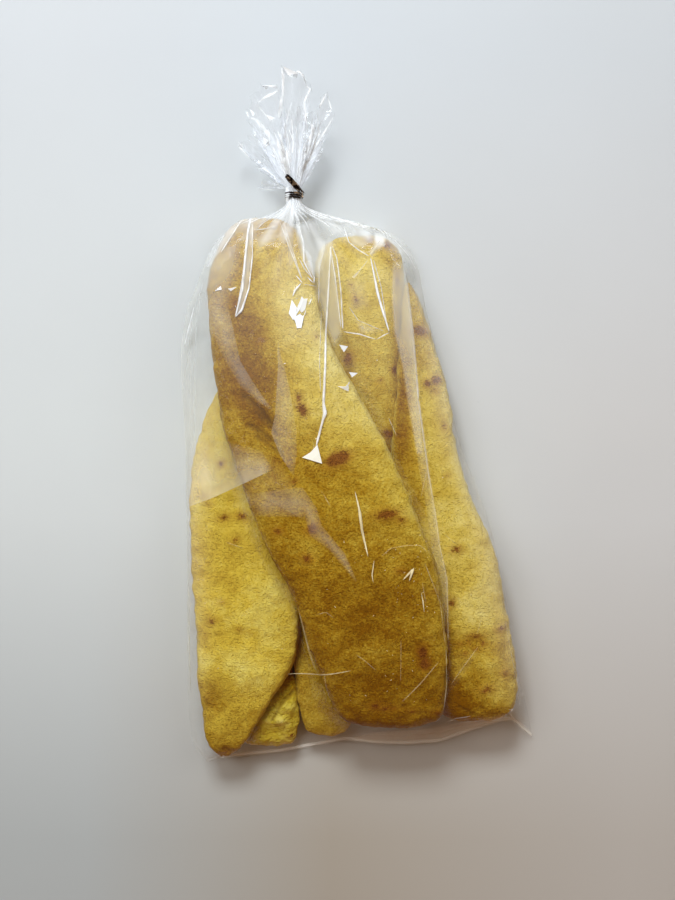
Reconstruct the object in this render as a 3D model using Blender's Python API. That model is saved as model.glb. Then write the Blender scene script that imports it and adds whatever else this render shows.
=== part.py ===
"""A clear film bag of long bread slices, gathered at the top and closed with a twist tie.

The bag lies on its back on a table at z = 0. +Y runs from its sealed bottom to its frilled
top, +X is to the right and +Z is up, out of the front panel. The origin is the middle of the
box that the whole object fills, at table height. Sizes are in millimetres here, and become
metres where a mesh is made.

The bag is one filled solid: its front follows the slices inside, as drawn film does, and
its top is gathered into a pleated neck and opens again as a frill. The twist tie is a solid
of its own round the neck.
"""
import math

import bmesh
import bpy
import numpy as np
from mathutils import Matrix, Vector

MM = 0.001
CENTRING = (0.05, 0.2)         # moves the design onto the middle of its own box, in x and y

# The slices inside: where each ends along y, how long its rounded ends are, and stations of
# (y, left edge, right edge, top height, thickness). The first lies across the others.
SLICES = {
    "upper": {
        "ends": (-120.6, 78.5), "rounding": (7.5, 15.0),
        "stations": [(-120.6, -6.0, 32.6, 24.0, 14.0), (-111.9, -9.0, 33.9, 27.0, 15.5),
                     (-101.3, -13.6, 34.5, 30.0, 16.0), (-87.5, -18.8, 34.2, 32.5, 16.5),
                     (-69.9, -24.2, 32.2, 34.0, 17.0), (-54.5, -32.3, 29.4, 35.0, 17.0),
                     (-39.1, -39.4, 23.2, 35.5, 17.0), (-23.6, -45.0, 16.9, 35.5, 17.0),
                     (-8.2, -49.9, 9.5, 35.0, 17.0), (7.2, -53.6, 1.7, 35.0, 17.0),
                     (22.7, -55.6, -7.8, 34.0, 17.0), (38.3, -57.4, -13.9, 33.0, 16.5),
                     (53.9, -57.6, -17.0, 31.0, 16.0), (67.8, -54.0, -21.0, 28.5, 15.5),
                     (78.5, -52.0, -23.0, 26.0, 13.5)],
    },
    "left": {
        "ends": (-134.2, 40.0), "rounding": (10.0, 16.0),
        "stations": [(-134.2, -59.6, -46.0, 15.0, 13.0), (-126.1, -61.2, -43.0, 17.0, 15.0),
                     (-118.6, -62.2, -38.7, 18.5, 16.5), (-109.8, -63.3, -33.4, 19.5, 18.0),
                     (-102.2, -64.2, -28.4, 20.5, 19.0), (-91.0, -65.6, -23.9, 21.0, 19.5),
                     (-71.8, -67.0, -24.2, 21.0, 19.5), (-55.9, -67.3, -26.7, 20.5, 19.0),
                     (-36.0, -66.6, -28.7, 20.0, 18.5), (-16.0, -64.9, -30.3, 19.0, 17.5),
                     (3.9, -58.9, -31.0, 18.0, 16.5), (23.9, -49.7, -30.7, 17.0, 15.5),
                     (40.0, -44.8, -30.8, 15.0, 13.5)],
    },
    "middle": {
        "ends": (-126.8, 73.5), "rounding": (8.0, 11.0),
        "stations": [(-126.8, -21.4, -3.6, 11.0, 9.5), (-118.5, -22.2, -1.0, 12.0, 11.0),
                     (-108.4, -23.6, 3.7, 13.0, 12.0), (-92.2, -22.7, 7.2, 13.5, 12.5),
                     (-72.2, -21.6, 9.0, 14.0, 13.0), (-48.1, -20.8, 11.2, 14.5, 13.5),
                     (-20.1, -19.5, 16.2, 15.5, 14.5), (7.9, -18.3, 19.2, 16.5, 15.5),
                     (35.9, -17.6, 19.8, 17.5, 16.0), (55.9, -17.3, 19.6, 17.5, 15.5),
                     (73.5, -15.0, 17.6, 15.5, 13.5)],
    },
    "right": {
        "ends": (-119.4, 58.0), "rounding": (9.0, 16.0),
        "stations": [(-119.4, 36.0, 61.4, 19.0, 17.0), (-111.7, 33.2, 62.6, 21.0, 19.5),
                     (-97.5, 32.4, 62.8, 22.5, 21.0), (-83.6, 32.2, 60.3, 22.5, 21.0),
                     (-67.7, 30.6, 57.0, 22.0, 20.5), (-51.9, 26.4, 54.3, 21.5, 20.0),
                     (-40.0, 22.4, 49.6, 21.0, 19.5), (-30.0, 19.6, 44.8, 20.5, 19.0),
                     (-12.1, 17.8, 39.4, 19.5, 18.0), (7.9, 19.1, 36.4, 18.5, 17.0),
                     (27.9, 19.5, 31.0, 17.5, 16.0), (44.0, 19.7, 26.1, 16.0, 14.5),
                     (58.0, 18.8, 22.0, 14.0, 12.5)],
    },
    "broken_end": {
        "ends": (-131.0, -97.0), "rounding": (4.0, 10.0),
        "stations": [(-131.0, -47.5, -25.6, 9.0, 8.0), (-126.1, -43.4, -24.2, 11.5, 10.5),
                     (-118.6, -39.2, -23.0, 13.0, 12.0), (-109.8, -34.0, -23.8, 12.5, 11.5),
                     (-102.2, -29.0, -24.6, 11.5, 10.5), (-97.0, -27.5, -25.4, 10.0, 9.0)],
    },
}
CRUST_ROUNDING = 2.6           # superellipse power of a slice's cross-section

# The bag's outline on the table, as (y, x) down each side and (x, y) along the sealed bottom.
LEFT_SIDE = [(-128.0, -66.8), (-113.4, -68.4), (-89.1, -68.8), (-56.7, -68.8), (-32.3, -69.2),
             (-12.1, -69.4), (12.3, -70.8), (28.5, -71.2), (44.7, -68.8), (52.8, -65.6),
             (62.0, -62.2), (71.4, -57.2), (78.5, -50.1), (83.3, -41.9), (85.8, -34.6),
             (87.4, -29.2)]
RIGHT_SIDE = [(-128.0, 71.2), (-117.9, 69.0), (-100.0, 64.4), (-79.0, 61.6), (-48.5, 55.6),
              (-28.3, 49.2), (-12.1, 42.9), (2.1, 39.0), (16.3, 35.4), (32.5, 31.4),
              (46.7, 27.8), (54.8, 26.4), (62.8, 24.6), (71.4, 19.4), (78.5, 11.3),
              (82.1, 1.2), (85.8, -10.8), (87.4, -20.6)]
SEAL_LINE = [(-66.8, -130.0), (-60.5, -137.7), (-54.7, -135.8), (-30.9, -133.2),
             (-4.8, -128.2), (7.3, -129.7), (20.1, -130.1), (33.9, -129.1), (45.6, -124.9),
             (57.8, -121.0), (62.8, -120.6), (71.2, -127.6)]
FRONT_FOLD = [(-105.6, 36.1, 21.0), (-78.1, 33.2, 25.0), (-58.6, 30.8, 25.5),
              (-39.1, 28.0, 26.0), (-15.9, 25.6, 25.5), (7.2, 23.3, 25.0), (30.4, 21.4, 24.5),
              (49.7, 19.4, 23.0), (66.0, 17.5, 18.0)]    # y, x, z of the right gusset's fold
SEAL_Y = LEFT_SIDE[0][0]       # the seal's nominal y, where the sides' outlines start
SEAL_REACH = 38.0              # how far up the bag the seal's curve is felt
SEAL_Z, SEAL_CORNER_Z, SEAL_HALF = 4.2, 1.6, 0.6
EDGE_Z = 1.3                   # height of the film's fold along both sides
FILM_GAP = 0.5                 # film over a slice
FILM_SAG = 0.075               # how hard slack film bends down where it spans a gap, in 1/mm
SAG_FADE = (40.0, 64.0)        # the film is pulled straight again by the neck between these y

# The neck, the tie round it and the frill above it.
NECK = Vector((-24.9, 90.0, 14.0))
NECK_RADIUS, NECK_PLEAT = 4.2, 0.22
SHOULDER_Y, NECK_LOW_Y, NECK_HIGH_Y = 70.0, 87.4, 92.9
PLEAT_TALL = 1.1
FRILL_TIPS = [(-47.6, 110.3, 9.0), (-43.9, 122.9, 16.0), (-37.3, 131.2, 20.0),
              (-29.7, 137.0, 24.0), (-22.6, 132.3, 27.0), (-16.9, 127.9, 26.0),
              (-10.7, 127.8, 21.0), (-9.6, 119.8, 14.0), (-14.8, 114.4, 7.0),
              (-22.9, 124.3, 4.0), (-34.9, 122.3, 3.0), (-41.3, 109.1, 4.0)]
FRILL_VALLEY, FRILL_DIP, FRILL_FLARE, FRILL_WALL = 0.84, 5.5, 1.15, 0.8

TIE_WIDTH, TIE_THICK, TIE_GAP = 3.4, 0.8, 0.35
TAIL_START, TAIL_END = Vector((-20.6, 89.4, 18.6)), Vector((-27.8, 95.6, 22.4))
TAIL_WIDE, TAIL_THICK, TAIL_TWISTS = 2.6, 1.2, 1.25

# Mesh density.
TOP_POINTS, UNDER_POINTS = 48, 24
AROUND = TOP_POINTS + UNDER_POINTS
PLEAT_POINTS = AROUND // len(FRILL_TIPS)
BODY_RINGS, SHOULDER_RINGS, NECK_RINGS, FRILL_RINGS, INNER_RINGS = 39, 10, 3, 8, 5
RELAX_STEPS = 500


def smooth(t):
    """A step from 0 to 1 with level ends."""
    t = min(max(t, 0.0), 1.0)
    return t * t * (3.0 - 2.0 * t)


def along(stations, y):
    """Values at y on a smooth curve (Catmull-Rom) through stations of (y, value, ...)."""
    last = len(stations) - 1
    y = min(max(y, stations[0][0]), stations[last][0])
    k = max(j for j in range(last) if stations[j][0] <= y)
    before, start = stations[max(k - 1, 0)], stations[k]
    end, after = stations[k + 1], stations[min(k + 2, last)]
    span = end[0] - start[0]
    t = (y - start[0]) / span
    values = []
    for j in range(1, len(start)):
        m0 = (end[j] - before[j]) / (end[0] - before[0]) * span
        m1 = (after[j] - start[j]) / (after[0] - start[0]) * span
        values.append((2 * t**3 - 3 * t**2 + 1) * start[j] + (t**3 - 2 * t**2 + t) * m0
                      + (3 * t**2 - 2 * t**3) * end[j] + (t**3 - t**2) * m1)
    return values


def end_taper(piece, y):
    """How much of its width a slice has at y: it closes as a round end at both ends."""
    low, high = piece["ends"]
    if not low < y < high:
        return 0.0
    share = 1.0
    for distance, rounding in ((y - low, piece["rounding"][0]), (high - y, piece["rounding"][1])):
        if distance < rounding:
            share *= (1.0 - (1.0 - distance / rounding) ** 2.4) ** (1 / 2.4)
    return share


def slice_top(x, y):
    """Height of the highest slice under the film at (x, y), or 0 where there is none."""
    highest = 0.0
    for piece in SLICES.values():
        share = end_taper(piece, y)
        if share <= 0.0:
            continue
        left, right, top, thickness = along(piece["stations"], y)
        across = abs(2.0 * x - left - right) / ((right - left) * share)
        if across >= 1.0:
            continue
        rise = (1.0 - across**CRUST_ROUNDING) ** (1 / CRUST_ROUNDING) * share**0.5
        highest = max(highest, top - 0.5 * thickness * (1.0 - rise) + FILM_GAP)
    return highest


def column(i):
    """Place of a point across the bag, 0 at the left side and 1 at the right."""
    s = i / TOP_POINTS if i <= TOP_POINTS else 1.0 - (i - TOP_POINTS) / UNDER_POINTS
    return s - 0.085 * math.sin(2.0 * math.pi * s)


def station_ys():
    """Nominal y of each ring from the seal to the neck, closer together at both ends."""
    body_length = SHOULDER_Y - SEAL_Y
    body = [SEAL_Y + body_length * (k / (BODY_RINGS - 1)) ** 1.15 for k in range(BODY_RINGS)]
    rise = NECK_LOW_Y - SHOULDER_Y
    steps = [(k + 1) / SHOULDER_RINGS for k in range(SHOULDER_RINGS)]
    return body + [SHOULDER_Y + rise * (1.0 - (1.0 - s) ** 1.5) for s in steps]


def plan_point(u, y_nominal):
    """(x, y) on the table of the point at share u across the ring at y_nominal."""
    left, = along(LEFT_SIDE, y_nominal)
    right, = along(RIGHT_SIDE, y_nominal)
    x = left + u * (right - left)
    seal_shift = np.interp(x, *zip(*SEAL_LINE)) - SEAL_Y
    return x, y_nominal + seal_shift * (1.0 - smooth((y_nominal - SEAL_Y) / SEAL_REACH))


def drawn_film(ys):
    """Heights of the front panel at each ring and column: a skin that rests on the slices and
    on the gusset's fold and sags a little between them, found by relaxing it."""
    plan = np.array([[plan_point(column(i), y) for i in range(TOP_POINTS + 1)] for y in ys])
    support = np.array([[slice_top(*point) for point in row] for row in plan])
    for k, y in enumerate(ys):
        if FRONT_FOLD[0][0] < y < FRONT_FOLD[-1][0]:
            fold_x, fold_z = along(FRONT_FOLD, y)
            near = int(np.argmin(np.abs(plan[k, :, 0] - fold_x)))
            support[k, near] = max(support[k, near], fold_z)
    side = np.array([EDGE_Z + (NECK.z - EDGE_Z) * smooth((y - 62.0) / 24.0) for y in ys])
    height = np.maximum(support, side[:, None])
    height[:, 0] = height[:, -1] = side
    across = [math.sin(math.pi * column(i)) ** 0.5 for i in range(TOP_POINTS + 1)]
    height[0] = [SEAL_CORNER_Z + (SEAL_Z - SEAL_CORNER_Z) * s + SEAL_HALF for s in across]
    height[-1] = [NECK.z + NECK_RADIUS * s for s in across]
    step_x = np.hypot(*np.moveaxis(np.diff(plan, axis=1), 2, 0))
    step_y = np.hypot(*np.moveaxis(np.diff(plan, axis=0), 2, 0))
    pull = [1.0 / step_x[1:-1, :-1] ** 2, 1.0 / step_x[1:-1, 1:] ** 2,
            1.0 / step_y[:-1, 1:-1] ** 2, 1.0 / step_y[1:, 1:-1] ** 2]
    total = sum(pull)
    fade = [1.0 - smooth((y - SAG_FADE[0]) / (SAG_FADE[1] - SAG_FADE[0])) for y in ys[1:-1]]
    sag = FILM_SAG * np.array(fade)[:, None]
    for _ in range(RELAX_STEPS):
        taut = (pull[0] * height[1:-1, :-2] + pull[1] * height[1:-1, 2:]
                + pull[2] * height[:-2, 1:-1] + pull[3] * height[2:, 1:-1] - sag) / total
        height[1:-1, 1:-1] = np.maximum(taut, support[1:-1, 1:-1])
    return plan, height, side


def ridge(i):
    """Where a point lies in its pleat: 0 in the valley, 1 on the ridge."""
    place = (i % PLEAT_POINTS) / PLEAT_POINTS
    return 1.0 - abs(2.0 * place - 1.0)


def neck_point(i, radius=None):
    """(x, z) of point i on the neck's ring, which starts at the left and goes over the top."""
    if i <= TOP_POINTS:
        angle = math.pi * (1.0 - i / TOP_POINTS)
    else:
        angle = -math.pi * (i - TOP_POINTS) / UNDER_POINTS
    radius = radius or NECK_RADIUS + NECK_PLEAT * (2.0 * ridge(i) - 1.0)
    return NECK.x + radius * math.cos(angle), NECK.z + radius * math.sin(angle)


def bag_rings():
    """The bag's rings of points, from the seal to the bottom of the frill's inside."""
    rings = []
    ys = station_ys()
    plan, height, side = drawn_film(ys)
    for k, y in enumerate(ys):
        gather = smooth((y - SHOULDER_Y) / (NECK_LOW_Y - SHOULDER_Y)) ** 1.5
        pleat = PLEAT_TALL * smooth((y - 40.0) / 40.0) * (1.0 - 0.8 * gather)
        lift = side[k] - EDGE_Z
        ring = []
        for i in range(AROUND):
            u = column(i)
            x, y_here = plan_point(u, y)
            edge = math.sin(math.pi * u) ** 0.5
            if i <= TOP_POINTS:
                z = height[k, i] + pleat * (2.0 * ridge(i) - 1.0) * edge
            else:
                z = side[k] - (EDGE_Z + lift * 0.35) * min(1.0, 6.0 * min(u, 1.0 - u))
                sealed = 1.0 - smooth((y - ys[0]) / 9.0)
                seal_z = SEAL_CORNER_Z + (SEAL_Z - SEAL_CORNER_Z) * edge - SEAL_HALF
                z += (seal_z - z) * sealed
            neck_x, neck_z = neck_point(i)
            ring.append((x + (neck_x - x) * gather, y_here, z + (neck_z - z) * gather))
        rings.append(ring)
    for k in range(1, NECK_RINGS):
        y = NECK_LOW_Y + (NECK_HIGH_Y - NECK_LOW_Y) * k / (NECK_RINGS - 1)
        rings.append([(neck_point(i)[0], y, neck_point(i)[1]) for i in range(AROUND)])
    return rings + frill_rings()


def frill_rim():
    """The frill's ragged mouth: a tip for each pleat, with a valley between two tips."""
    tips = [Vector(tip) for tip in FRILL_TIPS]
    valleys = []
    for p in range(len(tips)):
        middle = (tips[p - 1] + tips[p]) / 2.0
        axis = Vector((NECK.x, middle.y, NECK.z))
        valleys.append(axis + (middle - axis) * FRILL_VALLEY - Vector((0.0, FRILL_DIP, 0.0)))
    rim = []
    for i in range(AROUND):
        p, place = i // PLEAT_POINTS, (i % PLEAT_POINTS) / PLEAT_POINTS
        base = valleys[p].lerp(valleys[(p + 1) % len(tips)], place)
        centre = (valleys[p] + valleys[(p + 1) % len(tips)]) / 2.0
        rim.append(base + (tips[p] - centre) * ridge(i) ** 0.85)
    return rim


def frill_rings():
    """Rings from the neck out to the frill's mouth, and back down inside it."""
    rim = frill_rim()
    rings = []
    outward = [(k / FRILL_RINGS, 1.0) for k in range(1, FRILL_RINGS + 1)]
    back = [(1.0 - 0.72 * (k / INNER_RINGS), FRILL_WALL - 0.25 * k / INNER_RINGS)
            for k in range(INNER_RINGS)]
    for t, scale in outward + back:
        spread = t**FRILL_FLARE
        ring = []
        for i in range(AROUND):
            start_x, start_z = neck_point(i)
            x = start_x + (rim[i].x - start_x) * spread
            z = start_z + (rim[i].z - start_z) * spread
            y = NECK_HIGH_Y + (rim[i].y - NECK_HIGH_Y) * t - (1.0 - scale) * 6.0
            ring.append((NECK.x + (x - NECK.x) * scale, y, NECK.z + (z - NECK.z) * scale))
        rings.append(ring)
    return rings


def close_seal(bm, ring):
    """Faces along the bag's bottom edge, between the front film's points and the back's."""
    for j in range(UNDER_POINTS):
        right, left = (TOP_POINTS + j) % AROUND, (TOP_POINTS + j + 1) % AROUND
        top = TOP_POINTS - 2 * j
        loop = [right, top, top - 1, top - 2, left]
        bm.faces.new([ring[i] for i in dict.fromkeys(loop)])


def finished_object(name, bm, material):
    """An object from a bmesh in millimetres, with outward faces and smooth round parts."""
    bmesh.ops.transform(bm, matrix=Matrix.Translation((*CENTRING, 0.0)), verts=bm.verts)
    bmesh.ops.scale(bm, vec=(MM, MM, MM), verts=bm.verts)
    bmesh.ops.recalc_face_normals(bm, faces=bm.faces)
    bmesh.ops.triangulate(bm, faces=bm.faces)
    mesh = bpy.data.meshes.new(name)
    bm.to_mesh(mesh)
    bm.free()
    mesh.shade_smooth()
    mesh.set_sharp_from_angle(angle=math.radians(50))
    mesh.materials.append(material)
    piece = bpy.data.objects.new(name, mesh)
    bpy.context.collection.objects.link(piece)
    return piece


def plain_material(name, colour, roughness, metallic=0.0):
    material = bpy.data.materials.new(name)
    material.use_nodes = True
    shader = material.node_tree.nodes["Principled BSDF"]
    shader.inputs["Base Color"].default_value = (*colour, 1.0)
    shader.inputs["Roughness"].default_value = roughness
    shader.inputs["Metallic"].default_value = metallic
    return material


def bread_bag():
    """The filled bag: rings of points skinned from its seal to the inside of its frill."""
    bm = bmesh.new()
    rings = [[bm.verts.new(point) for point in ring] for ring in bag_rings()]
    for ring, following in zip(rings, rings[1:]):
        for i in range(AROUND):
            after = (i + 1) % AROUND
            bm.faces.new((ring[i], ring[after], following[after], following[i]))
    close_seal(bm, rings[0])
    bm.faces.new(rings[-1])
    return finished_object("bread_bag", bm, plain_material("bagged bread", (0.58, 0.4, 0.1), 0.4))


def tie_band():
    """The strip where it goes round the neck: a flat band turned about the neck's axis."""
    bm = bmesh.new()
    inner = NECK_RADIUS + NECK_PLEAT + TIE_GAP
    low, high = NECK.y - TIE_WIDTH / 2.0, NECK.y + TIE_WIDTH / 2.0
    profile = [bm.verts.new((NECK.x + radius, y, NECK.z)) for radius, y in
               ((inner, low), (inner + TIE_THICK, low), (inner + TIE_THICK, high), (inner, high))]
    edges = [bm.edges.new((profile[k - 1], profile[k])) for k in range(4)]
    bmesh.ops.spin(bm, geom=profile + edges, cent=NECK, axis=(0.0, 1.0, 0.0),
                   angle=2.0 * math.pi, steps=40, use_merge=True)
    return bm


def tie_tail():
    """The two ends of the strip, twisted together and bent over towards the frill."""
    bm = bmesh.new()
    length = (TAIL_END - TAIL_START).length
    steps = 14
    bmesh.ops.create_cube(bm, size=1.0)
    bmesh.ops.scale(bm, vec=(TAIL_WIDE, TAIL_THICK, length), verts=bm.verts)
    lengthwise = [e for e in bm.edges if abs(e.verts[0].co.z - e.verts[1].co.z) > length / 2.0]
    bmesh.ops.subdivide_edges(bm, edges=lengthwise, cuts=steps, use_grid_fill=True)
    for vert in bm.verts:
        share = vert.co.z / length + 0.5
        turn = Matrix.Rotation(TAIL_TWISTS * 2.0 * math.pi * share, 3, "Z")
        flat = Vector((vert.co.x, vert.co.y, 0.0)) * (1.0 - 0.25 * share)
        vert.co = turn @ flat + Vector((0.0, 0.0, vert.co.z))
    facing = (TAIL_END - TAIL_START).to_track_quat("Z", "Y").to_matrix().to_4x4()
    middle = Matrix.Translation((TAIL_START + TAIL_END) / 2.0)
    bmesh.ops.transform(bm, matrix=middle @ facing, verts=bm.verts)
    return bm


def twist_tie():
    """The band and its twisted tail as one solid."""
    material = plain_material("tie foil", (0.16, 0.07, 0.03), 0.35, 1.0)
    band = finished_object("twist_tie", tie_band(), material)
    tail = finished_object("tie_tail", tie_tail(), material)
    union = band.modifiers.new("tail", "BOOLEAN")
    union.operation = "UNION"
    union.object = tail
    tail.hide_render = True
    tail.display_type = "WIRE"
    return band


for leftover in list(bpy.data.objects):
    bpy.data.objects.remove(leftover)
bread_bag()
twist_tie()
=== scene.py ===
"""Long slices of pale bread in a clear film bag, closed with a twist tie, lying on its back.

Sizes are in millimetres in the maker's drawing; finished_mesh() turns them into metres and
centres them. +Y runs from the bag's sealed bottom to its frilled top, and +Z is up.
"""
import math

import bmesh
import bpy
import numpy as np
from mathutils import Matrix, Vector, noise
from mathutils.bvhtree import BVHTree


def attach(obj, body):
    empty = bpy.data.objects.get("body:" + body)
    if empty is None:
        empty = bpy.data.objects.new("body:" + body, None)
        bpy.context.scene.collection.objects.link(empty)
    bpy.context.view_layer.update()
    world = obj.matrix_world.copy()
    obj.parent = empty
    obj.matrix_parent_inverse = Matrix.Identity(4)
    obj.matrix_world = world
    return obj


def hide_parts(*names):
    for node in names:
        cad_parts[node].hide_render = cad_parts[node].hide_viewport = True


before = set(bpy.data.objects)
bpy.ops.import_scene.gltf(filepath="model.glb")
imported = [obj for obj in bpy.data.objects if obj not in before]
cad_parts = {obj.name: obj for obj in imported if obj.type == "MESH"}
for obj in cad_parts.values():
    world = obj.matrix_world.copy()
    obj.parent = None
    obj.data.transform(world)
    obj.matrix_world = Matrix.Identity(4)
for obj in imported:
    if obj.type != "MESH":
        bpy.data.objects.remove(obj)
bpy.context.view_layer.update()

# ---------------------------------------------------------------------------------------
# The bread. Four long slices and one broken end of a soft, pale yellow dough with bits of
# reddish brown filling baked into it. One slice lies slantwise over the others. Each is
# baked as a flat stick, so it has crust all round; only the broken end shows its crumb.
MM = 0.001
CENTRING = Vector((0.05, 0.2, 0.0))
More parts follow.
